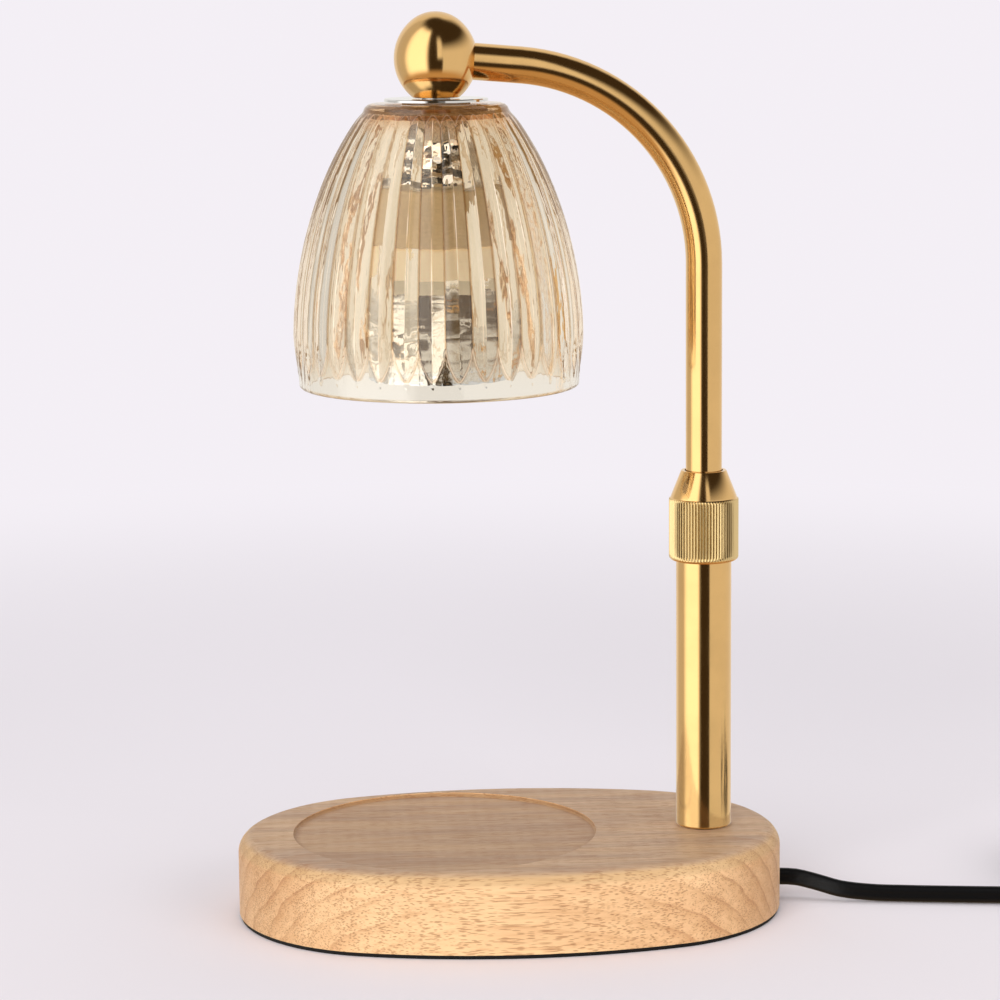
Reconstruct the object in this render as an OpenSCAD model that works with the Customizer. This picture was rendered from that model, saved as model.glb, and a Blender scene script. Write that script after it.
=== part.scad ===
// Candle warmer lamp: an oval wooden base with a shallow dish, a round post, a curved arm that
// slides and swivels in a clamp collar, and a hanging bell shade of ribbed glass over a reflector bulb.
// Millimetres. The origin is the centre of the oval on the surface that the lamp stands on, Z is up,
// X runs along the base towards the post, and Y runs to the back.

/* [Base] */
// Length of the oval wooden base
base_l = 197; // [184:1:230]
// Depth of the oval wooden base, front to back
base_d = 128; // [122:1:150]
// How much smaller than half the depth the radius of the two round ends is
base_end_less = 5.75; // [4:0.25:12]
// Height of the base from the table to its top, pad included
base_h = 29.8; // [28:0.1:36]
// Rounding of the top edge
base_edge_r = 6; // [2:0.5:8]
// Thickness of the anti-slip pad
pad_t = 1.5; // [1:0.1:3]
// How far the pad stays inside the edge of the wood
pad_inset = 0.6; // [0.3:0.1:3]
// Radius of the dish that the jar stands in
dish_r = 55; // [40:1:56]
// Depth of the dish
dish_depth = 1.5; // [0.8:0.1:3]
// Distance from the right end of the base to the axis of the post
post_inset = 27.5; // [25:0.5:32]
// Radius of the wiring pocket under the post
pocket_r = 20; // [17:0.5:20]
// Depth of the wiring pocket, from the underside of the wood
pocket_depth = 18; // [17:0.5:19]

/* [Post] */
// Outer diameter of the post
post_od = 20; // [19.6:0.2:22]
// Wall of the post tube
post_wall = 1.2; // [1:0.1:1.4]
// Length of the post tube above the wood
post_len = 110; // [100:1:140]
// Length of the plug in the foot of the post
foot_len = 15; // [12:1:20]
// Outer diameter of the hollow threaded rods
rod_od = 10; // [9:0.5:10]
// Bore of the hollow threaded rods
rod_bore = 7; // [6.8:0.1:7.4]

/* [Clamp collar] */
// Outer diameter of the collar over its knurl
collar_od = 25; // [24.6:0.2:28]
// Height of the knurled band
knurl_h = 20; // [12:1:20]
// Number of knurl ridges
knurl_count = 70; // [40:2:90]
// Depth of the knurl grooves
knurl_depth = 0.45; // [0.2:0.05:0.6]
// Height of the polished cone above the knurl
cone_h = 10; // [9.6:0.2:13]
// Radius of the top of the cone
cone_top_r = 8.2; // [8:0.1:9]
// Height of the plain band under the knurl
collar_foot_h = 2.5; // [2:0.1:4]
// Depth of post that the collar covers
collar_overlap = 11.8; // [8:0.1:12]

/* [Arm] */
// Outer diameter of the arm tube
arm_od = 13; // [12.6:0.1:13]
// Wall of the arm tube
arm_wall = 1; // [0.8:0.1:1.2]
// Length of arm tube below the top of the post
arm_insert = 59.8; // [56:0.1:62]
// Height of straight arm tube above the top of the post
arm_rise = 94.9; // [80:0.1:130]
// Radius of the bend, to the middle of the tube
bend_r = 71; // [55:1:74]
// Angle of the bend
bend_angle = 85; // [80:1:88]
// Distance between the axis of the post and the axis of the shade
arm_reach = 94.6; // [92:0.1:105]
// Length of the guide ring on the lower end of the arm
guide_len = 11.7; // [8:0.1:12]

/* [Ball] */
// Radius of the ball across
ball_r = 14.7; // [14:0.1:16]
// Half height of the ball before its foot is cut
ball_half_h = 16.4; // [16:0.1:18]
// Distance from the middle of the ball down to its flat foot
ball_foot = 13.5; // [12.5:0.1:14]

/* [Shade] */
// Largest radius of the glass, over the ribs
shade_r = 51.5; // [49:0.5:56]
// Number of ribs round the glass
rib_count = 34; // [24:1:40]
// Height of a rib where the shade is widest
rib_depth = 1.3; // [0.6:0.1:1.6]
// Height of the glass from rim to top
shade_h = 100; // [96:1:104]
// Height of the widest ring above the rim
shade_belly_h = 18.4; // [14:0.2:22]
// Height from the widest ring at which the curve of the bell would close
bell_h = 95; // [92:1:100]
// Roundness of the bell: 1 is a cone and 2 an ellipse
bell_power = 1.82; // [1.6:0.02:2]
// Wall of the glass between the ribs
glass_t = 2.6; // [2:0.1:3.2]
// Height of the smooth band above the rim, up to the tips of the ribs
band_h = 7; // [4:0.5:9]
// Height over which the lower ends of the ribs come to a point
rib_tip_h = 12.5; // [8:0.5:16]
// Height over which the upper ends of the ribs come to a point
rib_top_h = 4.5; // [3:0.5:8]
// Depth of the smooth shoulder above the ribs
shoulder_h = 3; // [2.5:0.1:4]

/* [Lamp fittings] */
// Radius of the bright washer on the glass
washer_r = 18.3; // [14:0.1:20]
// Thickness of the bright washer
washer_t = 1; // [0.8:0.1:1.5]
// Thickness of each soft gasket against the glass
gasket_t = 0.6; // [0.4:0.1:1]
// Radius of the ceramic lamp holder
holder_r = 17; // [16:0.5:18]
// Height of the ceramic lamp holder
holder_h = 20; // [16:0.5:21]
// Height of the bracket between the top nut and the lamp holder
bracket_h = 21.4; // [19:0.1:23]
// Radius of the front of the reflector bulb
bulb_r = 25; // [24:0.5:27]
// Length of the glass reflector, front to neck
reflector_h = 35; // [30:0.5:36]
// Height of the bulb's ceramic foot
bulb_foot_h = 11; // [8:0.5:12]
// Distance between the two contact pins
pin_span = 10; // [9.6:0.1:10.4]
// Angle of the twist that frees the bulb
bulb_twist = 20; // [15:1:25]

/* [Cord] */
// Width of the flat twin cord
cord_w = 6.4; // [5.6:0.1:6.6]
// Thickness of the flat twin cord
cord_t = 3.4; // [2.8:0.1:3.4]
// Height of the hole that the cord leaves by, above the table
exit_z = 8; // [7.6:0.1:9]
// How far behind the middle of the base the hole lies
exit_y = 4; // [0:0.5:5]
// Diameter of the rubber grommet in that hole
grommet_od = 9; // [8.6:0.1:10]

/* [Cord switch] */
// Length of the dimmer on the cord
switch_l = 50; // [44:1:50]
// Width of the dimmer's housing
switch_w = 24; // [22:0.5:25]
// Height of the dimmer's housing
switch_h = 16; // [15:0.5:18]
// Radius of the dimmer's thumb wheel
wheel_r = 13.5; // [13.2:0.1:14]
// Thickness of the thumb wheel
wheel_t = 5; // [4:0.5:6]

/* [Plug] */
// Width of the plug
plug_w = 25; // [23:0.5:27]
// Height of the plug
plug_h = 16; // [15:0.5:18]
// Length of the plug's body
plug_l = 26; // [22:1:30]
// Length of a blade
blade_l = 17.5; // [16:0.5:18]

/* [Fits] */
// Radial clearance of a piece that turns or slides in another
run_gap = 0.05; // [0.03:0.01:0.08]
// Clearance of a piece that is seated in another for good
seat_gap = 0.05; // [0.02:0.01:0.1]
// Clearance between pieces that move past each other without touching
free_gap = 0.3; // [0.2:0.05:0.4]

/* [Hidden] */
$fn = 72;
eps = 0.01;
far = 400;

gold = [0.83, 0.64, 0.38];
wood = [0.86, 0.70, 0.50];
amber = [0.86, 0.70, 0.47, 0.55];
steel = [0.78, 0.78, 0.80];
black = [0.10, 0.10, 0.11];
ceramic = [0.90, 0.84, 0.72];
rubber = [0.16, 0.16, 0.17];

// Plan of the base: an oval of four arcs, two end arcs and two long side arcs that meet smoothly.
base_end_r = base_d / 2 - base_end_less;
end_x = base_l / 2 - base_end_r;
side_r = (pow(end_x, 2) + pow(base_d / 2, 2) - pow(base_end_r, 2)) / (base_d - 2 * base_end_r);
side_y = side_r - base_d / 2;
end_half_angle = atan2(side_y, end_x);

post_x = base_l / 2 - post_inset;
head_x = post_x - arm_reach;
post_r = post_od / 2;
post_bore_r = post_r - post_wall;
post_top = base_h + post_len;
pocket_top = pad_t + pocket_depth;
stud_top = base_h + foot_len - 3;
base_washer_t = 1.6;
nut_t = 6;
thin_nut_t = 4;
nut_flats = 14;
stud_bottom = pocket_top - base_washer_t - nut_t - 1;

// The collar and what it squeezes.
arm_r = arm_od / 2;
head_flange_t = 2;
head_thread_r = 9;
head_shank = 22;
head_top = post_top + head_flange_t + 8.2;
collar_bottom = post_top - collar_overlap;
cone_bottom = collar_bottom + collar_foot_h + knurl_h;
collar_top = cone_bottom + cone_h;
thread_gap = 0.1;
cone_start = head_top + 1.8;
collar_mouth_r = arm_r + 0.4;
collet_fit = 0.15;
collet_top = collar_top - 2;
collet_shank_r = 7.8;
slit_w = 1.2;

// The arm: straight tube, bend, short straight into the ball.
arm_bottom = post_top - arm_insert;
bend_z = post_top + arm_rise;
bend_x = post_x - bend_r;
bend_end = [bend_x + bend_r * cos(bend_angle), bend_z + bend_r * sin(bend_angle)];
arm_run = (bend_end[0] - head_x) / sin(bend_angle);
ball_z = bend_end[1] + arm_run * cos(bend_angle);
ball_cavity_r = 9;
tube_stop = ball_cavity_r - 0.3;
end_flange_t = 2.5;
snap_t = 1.2;
snap_groove = 0.4;
snap_z = arm_bottom + guide_len + 2 * free_gap;

// The stack under the ball, from the top down.
foot_z = ball_z - ball_foot;
washer_z = foot_z - free_gap - washer_t;
shade_top = washer_z - gasket_t;
shade_rim = shade_top - shade_h;
belly_z = shade_rim + shade_belly_h;
glass_top_t = 3.4;
glass_hole_r = rod_od / 2 + 0.3;
inner_gasket_z = shade_top - glass_top_t - gasket_t;
clamp_washer_t = 1.2;
clamp_washer_z = inner_gasket_z - clamp_washer_t;
nipple_nut_z = clamp_washer_z - thin_nut_t;
bracket_t = 1;
bracket_top = nipple_nut_z;
holder_top = bracket_top - bracket_h;
holder_bottom = holder_top - holder_h;
bracket_nut_z = bracket_top - bracket_t - thin_nut_t;
nipple_bottom = bracket_nut_z - 0.8;
bulb_top = holder_bottom - free_gap;
reflector_top = bulb_top - bulb_foot_h;
bulb_front = reflector_top - reflector_h;

// The cord's free stretches: points of its middle, chosen by hand, one ring of the tube at each.
cord_run = [
    [98.5, 4, 8], [100, 4, 8], [105.5, 3.2, 7.8], [113, 0.5, 6.4], [121, -2.6, 4.6], [132, -5, 3.6],
    [144, -7, 3.4], [160, -9.6, 3.4], [178, -12.2, 3.4], [194, -14, 3.4], [208, -15, 3.7],
    [218, -15, 4.2], [225.6, -15, 4.2]
];
switch_run = [
    [196, 17.6, 11.1], [196, 15, 11.1], [196, 5, 11.2], [196, -6, 11.3], [196, -17, 11.3],
    [196.6, -27, 9.4], [200, -38, 6], [207, -46.4, 4], [215, -50.8, 4.6], [221.6, -52, 7], [228, -52, 7]
];
plug_run = [
    [278, -52, 7], [280, -52, 7], [286, -51.4, 6.5], [294, -48.2, 4.6], [301, -41.4, 3.6],
    [305, -33, 4.4], [306, -25.6, 7], [306, -20.5, 7.5], [306, -18, 7.5]
];
switch_start = [228, -52, 7];
plug_start = [306, -18, 7.5];

// The coil: turns on edge side by side, in towards the middle and out again one layer up.
coil_centre = [232, 24];
coil_r = 39;
coil_pitch = 4;
coil_z = 4.2;
coil_rise = 6.9;
coil_in = 3.25;
coil_out = 2.5;
coil_climb = 0.5;
coil_rings = 24;
coil_start = -90;
cord_round = 1.6;

function unit(v) = v / norm(v);
function sum(v, i = 0) = i < len(v) ? v[i] + sum(v, i + 1) : 0;
function run_length(p) = sum([for (i = [1:len(p) - 1]) norm(p[i] - p[i - 1])]);

// Direction of a path at each of its points
function tangent(p, i) = unit(p[min(i + 1, len(p) - 1)] - p[max(i - 1, 0)]);

// One ring of a swept section: u runs along the wide side of the cord and v through its thickness.
function ring(p, i, wide, section) =
    let (t = tangent(p, i), w = unit(wide - t * (t * wide)), n = cross(t, w))
    [for (s = section) p[i] + w * s[0] + n * s[1]];

// Twin cord: two round cores side by side, with a groove between them.
function twin_section(w, t) =
    let (h = w / 2, q = t / 2)
    [[h, 0], [h - q * 0.3, q * 0.72], [h - q, q], [0, q * 0.7], [-h + q, q], [-h + q * 0.3, q * 0.72],
     [-h, 0], [-h + q * 0.3, -q * 0.72], [-h + q, -q], [0, -q * 0.7], [h - q, -q], [h - q * 0.3, -q * 0.72]];

function six_section(w, t) =
    [[w / 2, 0], [cord_round, t / 2], [-cord_round, t / 2], [-w / 2, 0], [-cord_round, -t / 2],
     [cord_round, -t / 2]];

// A closed tube through rings of equal size
module tube(rings) {
    n = len(rings[0]);
    m = len(rings);
    points = [for (r = rings) each r];
    sides = [
        for (i = [0:m - 2], j = [0:n - 1])
        let (a = i * n + j, b = i * n + (j + 1) % n)
        each [[a, a + n, b], [b, a + n, b + n]]
    ];
    caps = [[for (j = [0:n - 1]) j], [for (j = [n - 1:-1:0]) (m - 1) * n + j]];
    polyhedron(points, concat(sides, caps), convexity = 10);
}

module swept(p, wides, section) {
    tube([for (i = [0:len(p) - 1]) ring(p, i, wides[i], section)]);
}

module hex_nut(z, h, bore_r) {
    translate([0, 0, z]) difference() {
        cylinder(h = h, r = nut_flats / 2 / cos(30), $fn = 6);
        translate([0, 0, -1]) cylinder(h = h + 2, r = bore_r);
    }
}

module ring_disc(z, h, outer, inner) {
    translate([0, 0, z]) difference() {
        cylinder(h = h, r = outer);
        translate([0, 0, -1]) cylinder(h = h + 2, r = inner);
    }
}

// Base and what is fixed in it -------------------------------------------------------------------

// Disc with its top edge rounded
module round_disc(r, h, edge) {
    rotate_extrude() {
        square([r - edge, h]);
        square([r, h - edge]);
        translate([r - edge, h - edge]) intersection() {
            circle(edge);
            square(edge);
        }
    }
}

module end_wedge() {
    reach_out = far * 2;
    polygon([
        [end_x, 0],
        [end_x + reach_out * cos(end_half_angle), reach_out * sin(end_half_angle)],
        [end_x + reach_out * cos(end_half_angle), -reach_out * sin(end_half_angle)]
    ]);
}

// The oval, drawn in by inset, h high, with its top edge rounded
module oval(h, edge, inset) {
    for (side = [0, 1]) mirror([side, 0, 0]) intersection() {
        translate([end_x, 0, 0]) round_disc(base_end_r - inset, h, edge);
        linear_extrude(h) end_wedge();
    }
    intersection() {
        translate([0, -side_y, 0]) round_disc(side_r - inset, h, edge);
        translate([0, side_y, 0]) round_disc(side_r - inset, h, edge);
        linear_extrude(h) difference() {
            square([base_l, base_d], center = true);
            end_wedge();
            mirror([1, 0, 0]) end_wedge();
        }
    }
}

module dish_cut() {
    fillet = 1;
    translate([head_x, 0, base_h - dish_depth]) rotate_extrude() {
        square([dish_r - fillet, dish_depth + 1]);
        translate([0, fillet]) square([dish_r, dish_depth + 1]);
        translate([dish_r - fillet, fillet]) circle(fillet);
    }
}

// Line of the cord hole through the right end of the base
module exit_bore(x0, x1, r) {
    translate([x0, exit_y, exit_z]) rotate([0, 90, 0]) cylinder(h = x1 - x0, r = r);
}

grommet_flange_r = grommet_od / 2 + 1.5;
pocket_wall_x = post_x + sqrt(pow(pocket_r, 2) - pow(exit_y + grommet_flange_r, 2));
grommet_flange_t = 1.5;
grommet_in_x = pocket_wall_x + 2.5;

module wooden_base() {
    color(wood) difference() {
        translate([0, 0, pad_t]) oval(base_h - pad_t, base_edge_r, 0);
        dish_cut();
        translate([post_x, 0, 0]) {
            cylinder(h = pocket_top, r = pocket_r);
            cylinder(h = base_h + 1, r = rod_od / 2 + 0.2);
        }
        exit_bore(post_x, base_l, grommet_od / 2);
        exit_bore(post_x, grommet_in_x, grommet_flange_r + 0.3);
    }
}

module anti_slip_pad() {
    color(rubber) oval(pad_t, 0.3, pad_inset);
}

module post_tube() {
    foot_round = 1;
    color(gold) translate([post_x, 0, base_h]) difference() {
        rotate_extrude() {
            translate([0, foot_round]) square([post_r, post_len - foot_round]);
            square([post_r - foot_round, post_len]);
            translate([post_r - foot_round, foot_round]) circle(foot_round);
        }
        translate([0, 0, -1]) cylinder(h = post_len + 2, r = post_bore_r);
    }
}

module post_foot() {
    color(steel) translate([post_x, 0, 0])
        ring_disc(base_h, foot_len, post_bore_r - seat_gap, rod_od / 2 + seat_gap);
}

module post_stud() {
    color(steel) translate([post_x, 0, 0])
        ring_disc(stud_bottom, stud_top - stud_bottom, rod_od / 2, rod_bore / 2);
}

module base_washer() {
    color(steel) translate([post_x, 0, 0])
        ring_disc(pocket_top - base_washer_t, base_washer_t, 13, rod_od / 2 + 0.2);
}

module base_nut() {
    color(steel) translate([post_x, 0, 0])
        hex_nut(pocket_top - base_washer_t - nut_t, nut_t, rod_od / 2 + seat_gap);
}

module cord_slot(x0, x1) {
    translate([x0, exit_y, exit_z]) rotate([0, 90, 0]) linear_extrude(x1 - x0) {
        square([cord_w - cord_t, cord_t + 0.4], center = true);
        for (s = [-1, 1]) translate([s * (cord_w - cord_t) / 2, 0]) circle((cord_t + 0.4) / 2);
    }
}

module cord_grommet() {
    color(rubber) difference() {
        intersection() {
            union() {
                exit_bore(grommet_in_x - grommet_flange_t, base_l / 2 + 1, grommet_od / 2 - seat_gap);
                exit_bore(grommet_in_x - grommet_flange_t, grommet_in_x, grommet_flange_r);
            }
            translate([end_x, 0, 0]) cylinder(h = base_h, r = base_end_r);
        }
        cord_slot(post_x, base_l);
    }
}

// The cord inside the base: in through the grommet, a quarter twist, then up the hollow stud and
// the post into the lower end of the arm tube, which slides over it.
module base_lead() {
    p = [
        [base_l / 2 - 0.15, exit_y, exit_z], [post_x + 17.6, exit_y, exit_z],
        [post_x + 13.5, exit_y - 0.8, exit_z - 0.8], [post_x + 9.5, exit_y - 2, exit_z - 2.1],
        [post_x + 6, exit_y - 3.2, exit_z - 2.9], [post_x + 3.4, 0.2, exit_z - 2.7],
        [post_x + 1, 0, exit_z - 0.6], [post_x, 0, exit_z + 2.4],
        [post_x, 0, stud_bottom + 6], [post_x, 0, stud_top],
        [post_x, 0, arm_bottom - 10], [post_x, 0, arm_bottom + 20]
    ];
    turn = [0, 0, 30, 60, 90, 90, 90, 90, 90, 90, 90, 90];
    color(black) swept(p, [for (a = turn) [0, sin(a), cos(a)]], six_section(cord_w, cord_t));
}

// Clamp on the top of the post -------------------------------------------------------------------

module post_head() {
    color(steel) translate([post_x, 0, 0]) difference() {
        union() {
            translate([0, 0, post_top - head_shank])
                cylinder(h = head_shank + eps, r = post_bore_r - seat_gap);
            translate([0, 0, post_top]) cylinder(h = head_flange_t, r = post_r);
            translate([0, 0, post_top + head_flange_t - eps])
                cylinder(h = head_top - post_top - head_flange_t + eps, r = head_thread_r);
        }
        translate([0, 0, post_top - head_shank - 1]) cylinder(h = 80, r = arm_r + run_gap);
        translate([0, 0, head_top - 5]) cylinder(h = 10, r = collet_shank_r + thread_gap);
    }
}

function cone_bore(z) =
    let (k = (head_thread_r + thread_gap - collar_mouth_r) / (collar_top - cone_start))
    head_thread_r + thread_gap - k * (z - cone_start);

module clamp_collet() {
    shoulder_z = head_top + 0.4;
    color([0.93, 0.92, 0.88]) translate([post_x, 0, 0]) difference() {
        union() {
            translate([0, 0, head_top - 4.7])
                cylinder(h = shoulder_z - head_top + 4.7 + eps, r = collet_shank_r);
            translate([0, 0, shoulder_z])
                cylinder(h = cone_start - shoulder_z, r = head_thread_r + thread_gap - collet_fit);
            translate([0, 0, cone_start - eps]) cylinder(
                h = collet_top - cone_start + eps,
                r1 = head_thread_r + thread_gap - collet_fit,
                r2 = cone_bore(collet_top) - collet_fit);
        }
        translate([0, 0, head_top - 10]) cylinder(h = 40, r = arm_r + run_gap);
        for (a = [0, 90]) rotate([0, 0, a])
            translate([-far / 2, -slit_w / 2, head_top - 3]) cube([far, slit_w, 30]);
    }
}

// Plan of the knurl: a ring of pointed ridges
module knurl_plan(r, depth, count) {
    step = 360 / count;
    polygon([
        for (i = [0:count - 1]) each [
            [r * cos(i * step), r * sin(i * step)],
            [(r - depth) * cos((i + 0.5) * step), (r - depth) * sin((i + 0.5) * step)]
        ]
    ]);
}

module clamp_collar() {
    collar_r = collar_od / 2;
    foot_round = 1.8;
    groove = 0.5;
    knurl_z = collar_bottom + collar_foot_h;
    color(gold) translate([post_x, 0, 0]) difference() {
        union() {
            translate([0, 0, collar_bottom]) rotate_extrude() {
                translate([0, foot_round]) square([collar_r, collar_foot_h - foot_round]);
                square([collar_r - foot_round, collar_foot_h]);
                translate([collar_r - foot_round, foot_round]) circle(foot_round);
            }
            translate([0, 0, knurl_z - eps])
                cylinder(h = knurl_h + 2 * eps, r = collar_r - knurl_depth - groove);
            translate([0, 0, knurl_z + groove]) linear_extrude(knurl_h - 2 * groove)
                knurl_plan(collar_r, knurl_depth, knurl_count);
            translate([0, 0, cone_bottom]) cylinder(h = 1, r1 = collar_r - groove, r2 = collar_r);
            translate([0, 0, cone_bottom + 1 - eps])
                cylinder(h = cone_h - 1 + eps, r1 = collar_r, r2 = cone_top_r);
        }
        translate([0, 0, collar_bottom - 1])
            cylinder(h = post_top + head_flange_t + 0.5 - collar_bottom + 1, r = post_r + free_gap);
        translate([0, 0, post_top]) cylinder(h = cone_start - post_top + eps, r = head_thread_r + thread_gap);
        translate([0, 0, cone_start])
            cylinder(h = collar_top - cone_start, r1 = head_thread_r + thread_gap, r2 = collar_mouth_r);
        translate([0, 0, collar_top - eps]) cylinder(h = 1, r = collar_mouth_r);
    }
}

// Arm --------------------------------------------------------------------------------------------

module guide_ring() {
    color([0.93, 0.92, 0.88]) translate([post_x, 0, 0])
        ring_disc(arm_bottom + free_gap, guide_len, post_bore_r - run_gap, arm_r + run_gap);
}

module arm_end_bush() {
    flange_r = post_bore_r - 1.1;
    plug_h = 10;
    cord_way_r = cord_w / 2 + 0.7;
    color(gold) translate([post_x, 0, 0]) difference() {
        union() {
            translate([0, 0, arm_bottom - end_flange_t]) cylinder(h = end_flange_t, r = flange_r);
            translate([0, 0, arm_bottom - eps]) cylinder(h = plug_h, r = arm_r - arm_wall - seat_gap);
        }
        translate([0, 0, arm_bottom - plug_h]) cylinder(h = 3 * plug_h, r = cord_way_r);
    }
}

module snap_ring() {
    snap_r = post_bore_r - 0.9;
    mouth_w = 3;
    color(steel) translate([post_x, 0, 0]) difference() {
        ring_disc(snap_z, snap_t, snap_r, arm_r - snap_groove + seat_gap);
        translate([mouth_w, -mouth_w / 2, snap_z - 1]) cube([snap_r, mouth_w, snap_t + 2]);
    }
}

// The bent tube as a solid rod of radius r, from z0 up to stop short of the middle of the ball. The
// bend is a hair thinner than the straights, as it is in a bent tube, and they lap over its ends.
module arm_rod(r, z0, stop) {
    lap = 0.4;
    thinning = 0.02;
    translate([post_x, 0, z0]) cylinder(h = bend_z - z0 + lap, r = r);
    translate([bend_x, 0, bend_z]) rotate([90, 0, 0]) {
        rotate_extrude(angle = bend_angle) translate([bend_r, 0]) circle(r - thinning);
        rotate([0, 0, bend_angle]) translate([bend_r, -lap, 0]) rotate([-90, 0, 0])
            cylinder(h = arm_run - stop + lap, r = r);
    }
}

module arm_tube() {
    color(gold) difference() {
        arm_rod(arm_r, arm_bottom, tube_stop);
        arm_rod(arm_r - arm_wall, arm_bottom - 1, tube_stop - 1);
        translate([post_x, 0, 0]) ring_disc(snap_z, snap_t, arm_r + 1, arm_r - snap_groove);
    }
}

// Half outline of the ball: a little taller than round, with its foot cut flat
module ball_outline() {
    rise = ball_half_h - ball_r;
    intersection() {
        union() {
            for (s = [-1, 1]) translate([0, s * rise]) circle(ball_r);
            translate([0, -rise]) square([ball_r, 2 * rise]);
        }
        translate([0, -ball_foot]) square([far, far]);
    }
}

module lamp_ball() {
    color(gold) translate([head_x, 0, ball_z]) difference() {
        rotate_extrude() ball_outline();
        sphere(ball_cavity_r);
        translate([0, 0, -ball_half_h]) cylinder(h = ball_half_h, r = rod_od / 2 + seat_gap);
        rotate([0, 180 - bend_angle, 0]) cylinder(h = far, r = arm_r + seat_gap);
    }
}

module ball_nipple() {
    color(steel) translate([head_x, 0, 0])
        ring_disc(nipple_bottom, ball_z - 8 - nipple_bottom, rod_od / 2, rod_bore / 2);
}

module shade_washer() {
    lip = 0.3;
    color(steel) translate([head_x, 0, washer_z]) difference() {
        union() {
            cylinder(h = washer_t - lip, r = washer_r);
            translate([0, 0, washer_t - lip - eps])
                cylinder(h = lip + eps, r1 = washer_r, r2 = washer_r - lip);
        }
        translate([0, 0, -1]) cylinder(h = 5, r = rod_od / 2 + seat_gap);
    }
}

module top_gasket() {
    color(rubber) translate([head_x, 0, 0]) ring_disc(shade_top, gasket_t, 12, rod_od / 2 + seat_gap);
}

module inner_gasket() {
    color(rubber) translate([head_x, 0, 0]) ring_disc(inner_gasket_z, gasket_t, 12, rod_od / 2 + seat_gap);
}

module clamp_washer() {
    color(steel) translate([head_x, 0, 0])
        ring_disc(clamp_washer_z, clamp_washer_t, 14, rod_od / 2 + seat_gap);
}

module nipple_nut() {
    color(steel) translate([head_x, 0, 0]) hex_nut(nipple_nut_z, thin_nut_t, rod_od / 2 + seat_gap);
}

// Glass shade ------------------------------------------------------------------------------------
// Convex ribs run down a bell. A rib is part of a round bar laid along the bell, so where it sinks
// into the smooth glass at either end its outline closes to a rounded point.

function clamp01(x) = max(0, min(1, x));

// Radius over the crests of the ribs at height z
function bell(z) = z <= belly_z ? shade_r
    : shade_r * pow(1 - pow((z - belly_z) / bell_h, bell_power), 1 / bell_power);

half_pitch = PI * shade_r / rib_count;
rib_bow = rib_depth / pow(half_pitch, 2);
function rib_height(z) = rib_bow * pow(PI * bell(z) / rib_count, 2);

// Radius of the smooth glass that the ribs stand on
belly_curve = 0.0016;
function smooth_r(z) = bell(z) - rib_height(z) - (z < belly_z ? belly_curve * pow(belly_z - z, 2) : 0);

// How far the ribs have sunk at height z, as a share of their height
tip_z = shade_rim + band_h;
top_z = shade_top - shoulder_h;
function sunk(z) = max(
    pow(clamp01((tip_z + rib_tip_h - z) / rib_tip_h), 1.6),
    pow(clamp01((z - top_z + rib_top_h) / rib_top_h), 1.6));

// Radius at height z, s of the half pitch away from the crest of a rib
function glass_r(z, s) =
    max(smooth_r(z), bell(z) - rib_height(z) * (sunk(z) + s * s));

rib_steps = 6;
outer_cols = rib_count * rib_steps;
function col_angle(i) = (i / rib_steps - 0.5) * 360 / rib_count;
function col_share(i) = abs((i % rib_steps) / rib_steps * 2 - 1);

shoulder_r = smooth_r(top_z);
shoulder_round = [
    [shoulder_r - 4.4, shade_top], [shoulder_r - 2.2, shade_top - 0.35], [shoulder_r - 0.8, shade_top - 1.4]
];
rim_r = smooth_r(shade_rim + 1);
full_top_z = top_z - rib_top_h;
full_foot_z = tip_z + rib_tip_h + 1;
ribbed_z = [
    for (h = [0, 1.2, 2.6, rib_top_h + 0.3]) top_z - h,
    for (i = [1:6]) full_top_z + (full_foot_z - full_top_z) * i / 6,
    for (k = [0.78, 0.55, 0.35, 0.18, 0.06, -0.04]) tip_z + rib_tip_h * k
];

function ring_of(r, z, n) = [
    for (i = [0:n - 1]) let (a = col_angle(i * outer_cols / n)) [r * cos(a), r * sin(a), z]
];
function ribbed_ring(z) = [
    for (i = [0:outer_cols - 1])
    let (r = glass_r(z, col_share(i)), a = col_angle(i)) [r * cos(a), r * sin(a), z]
];

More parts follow.
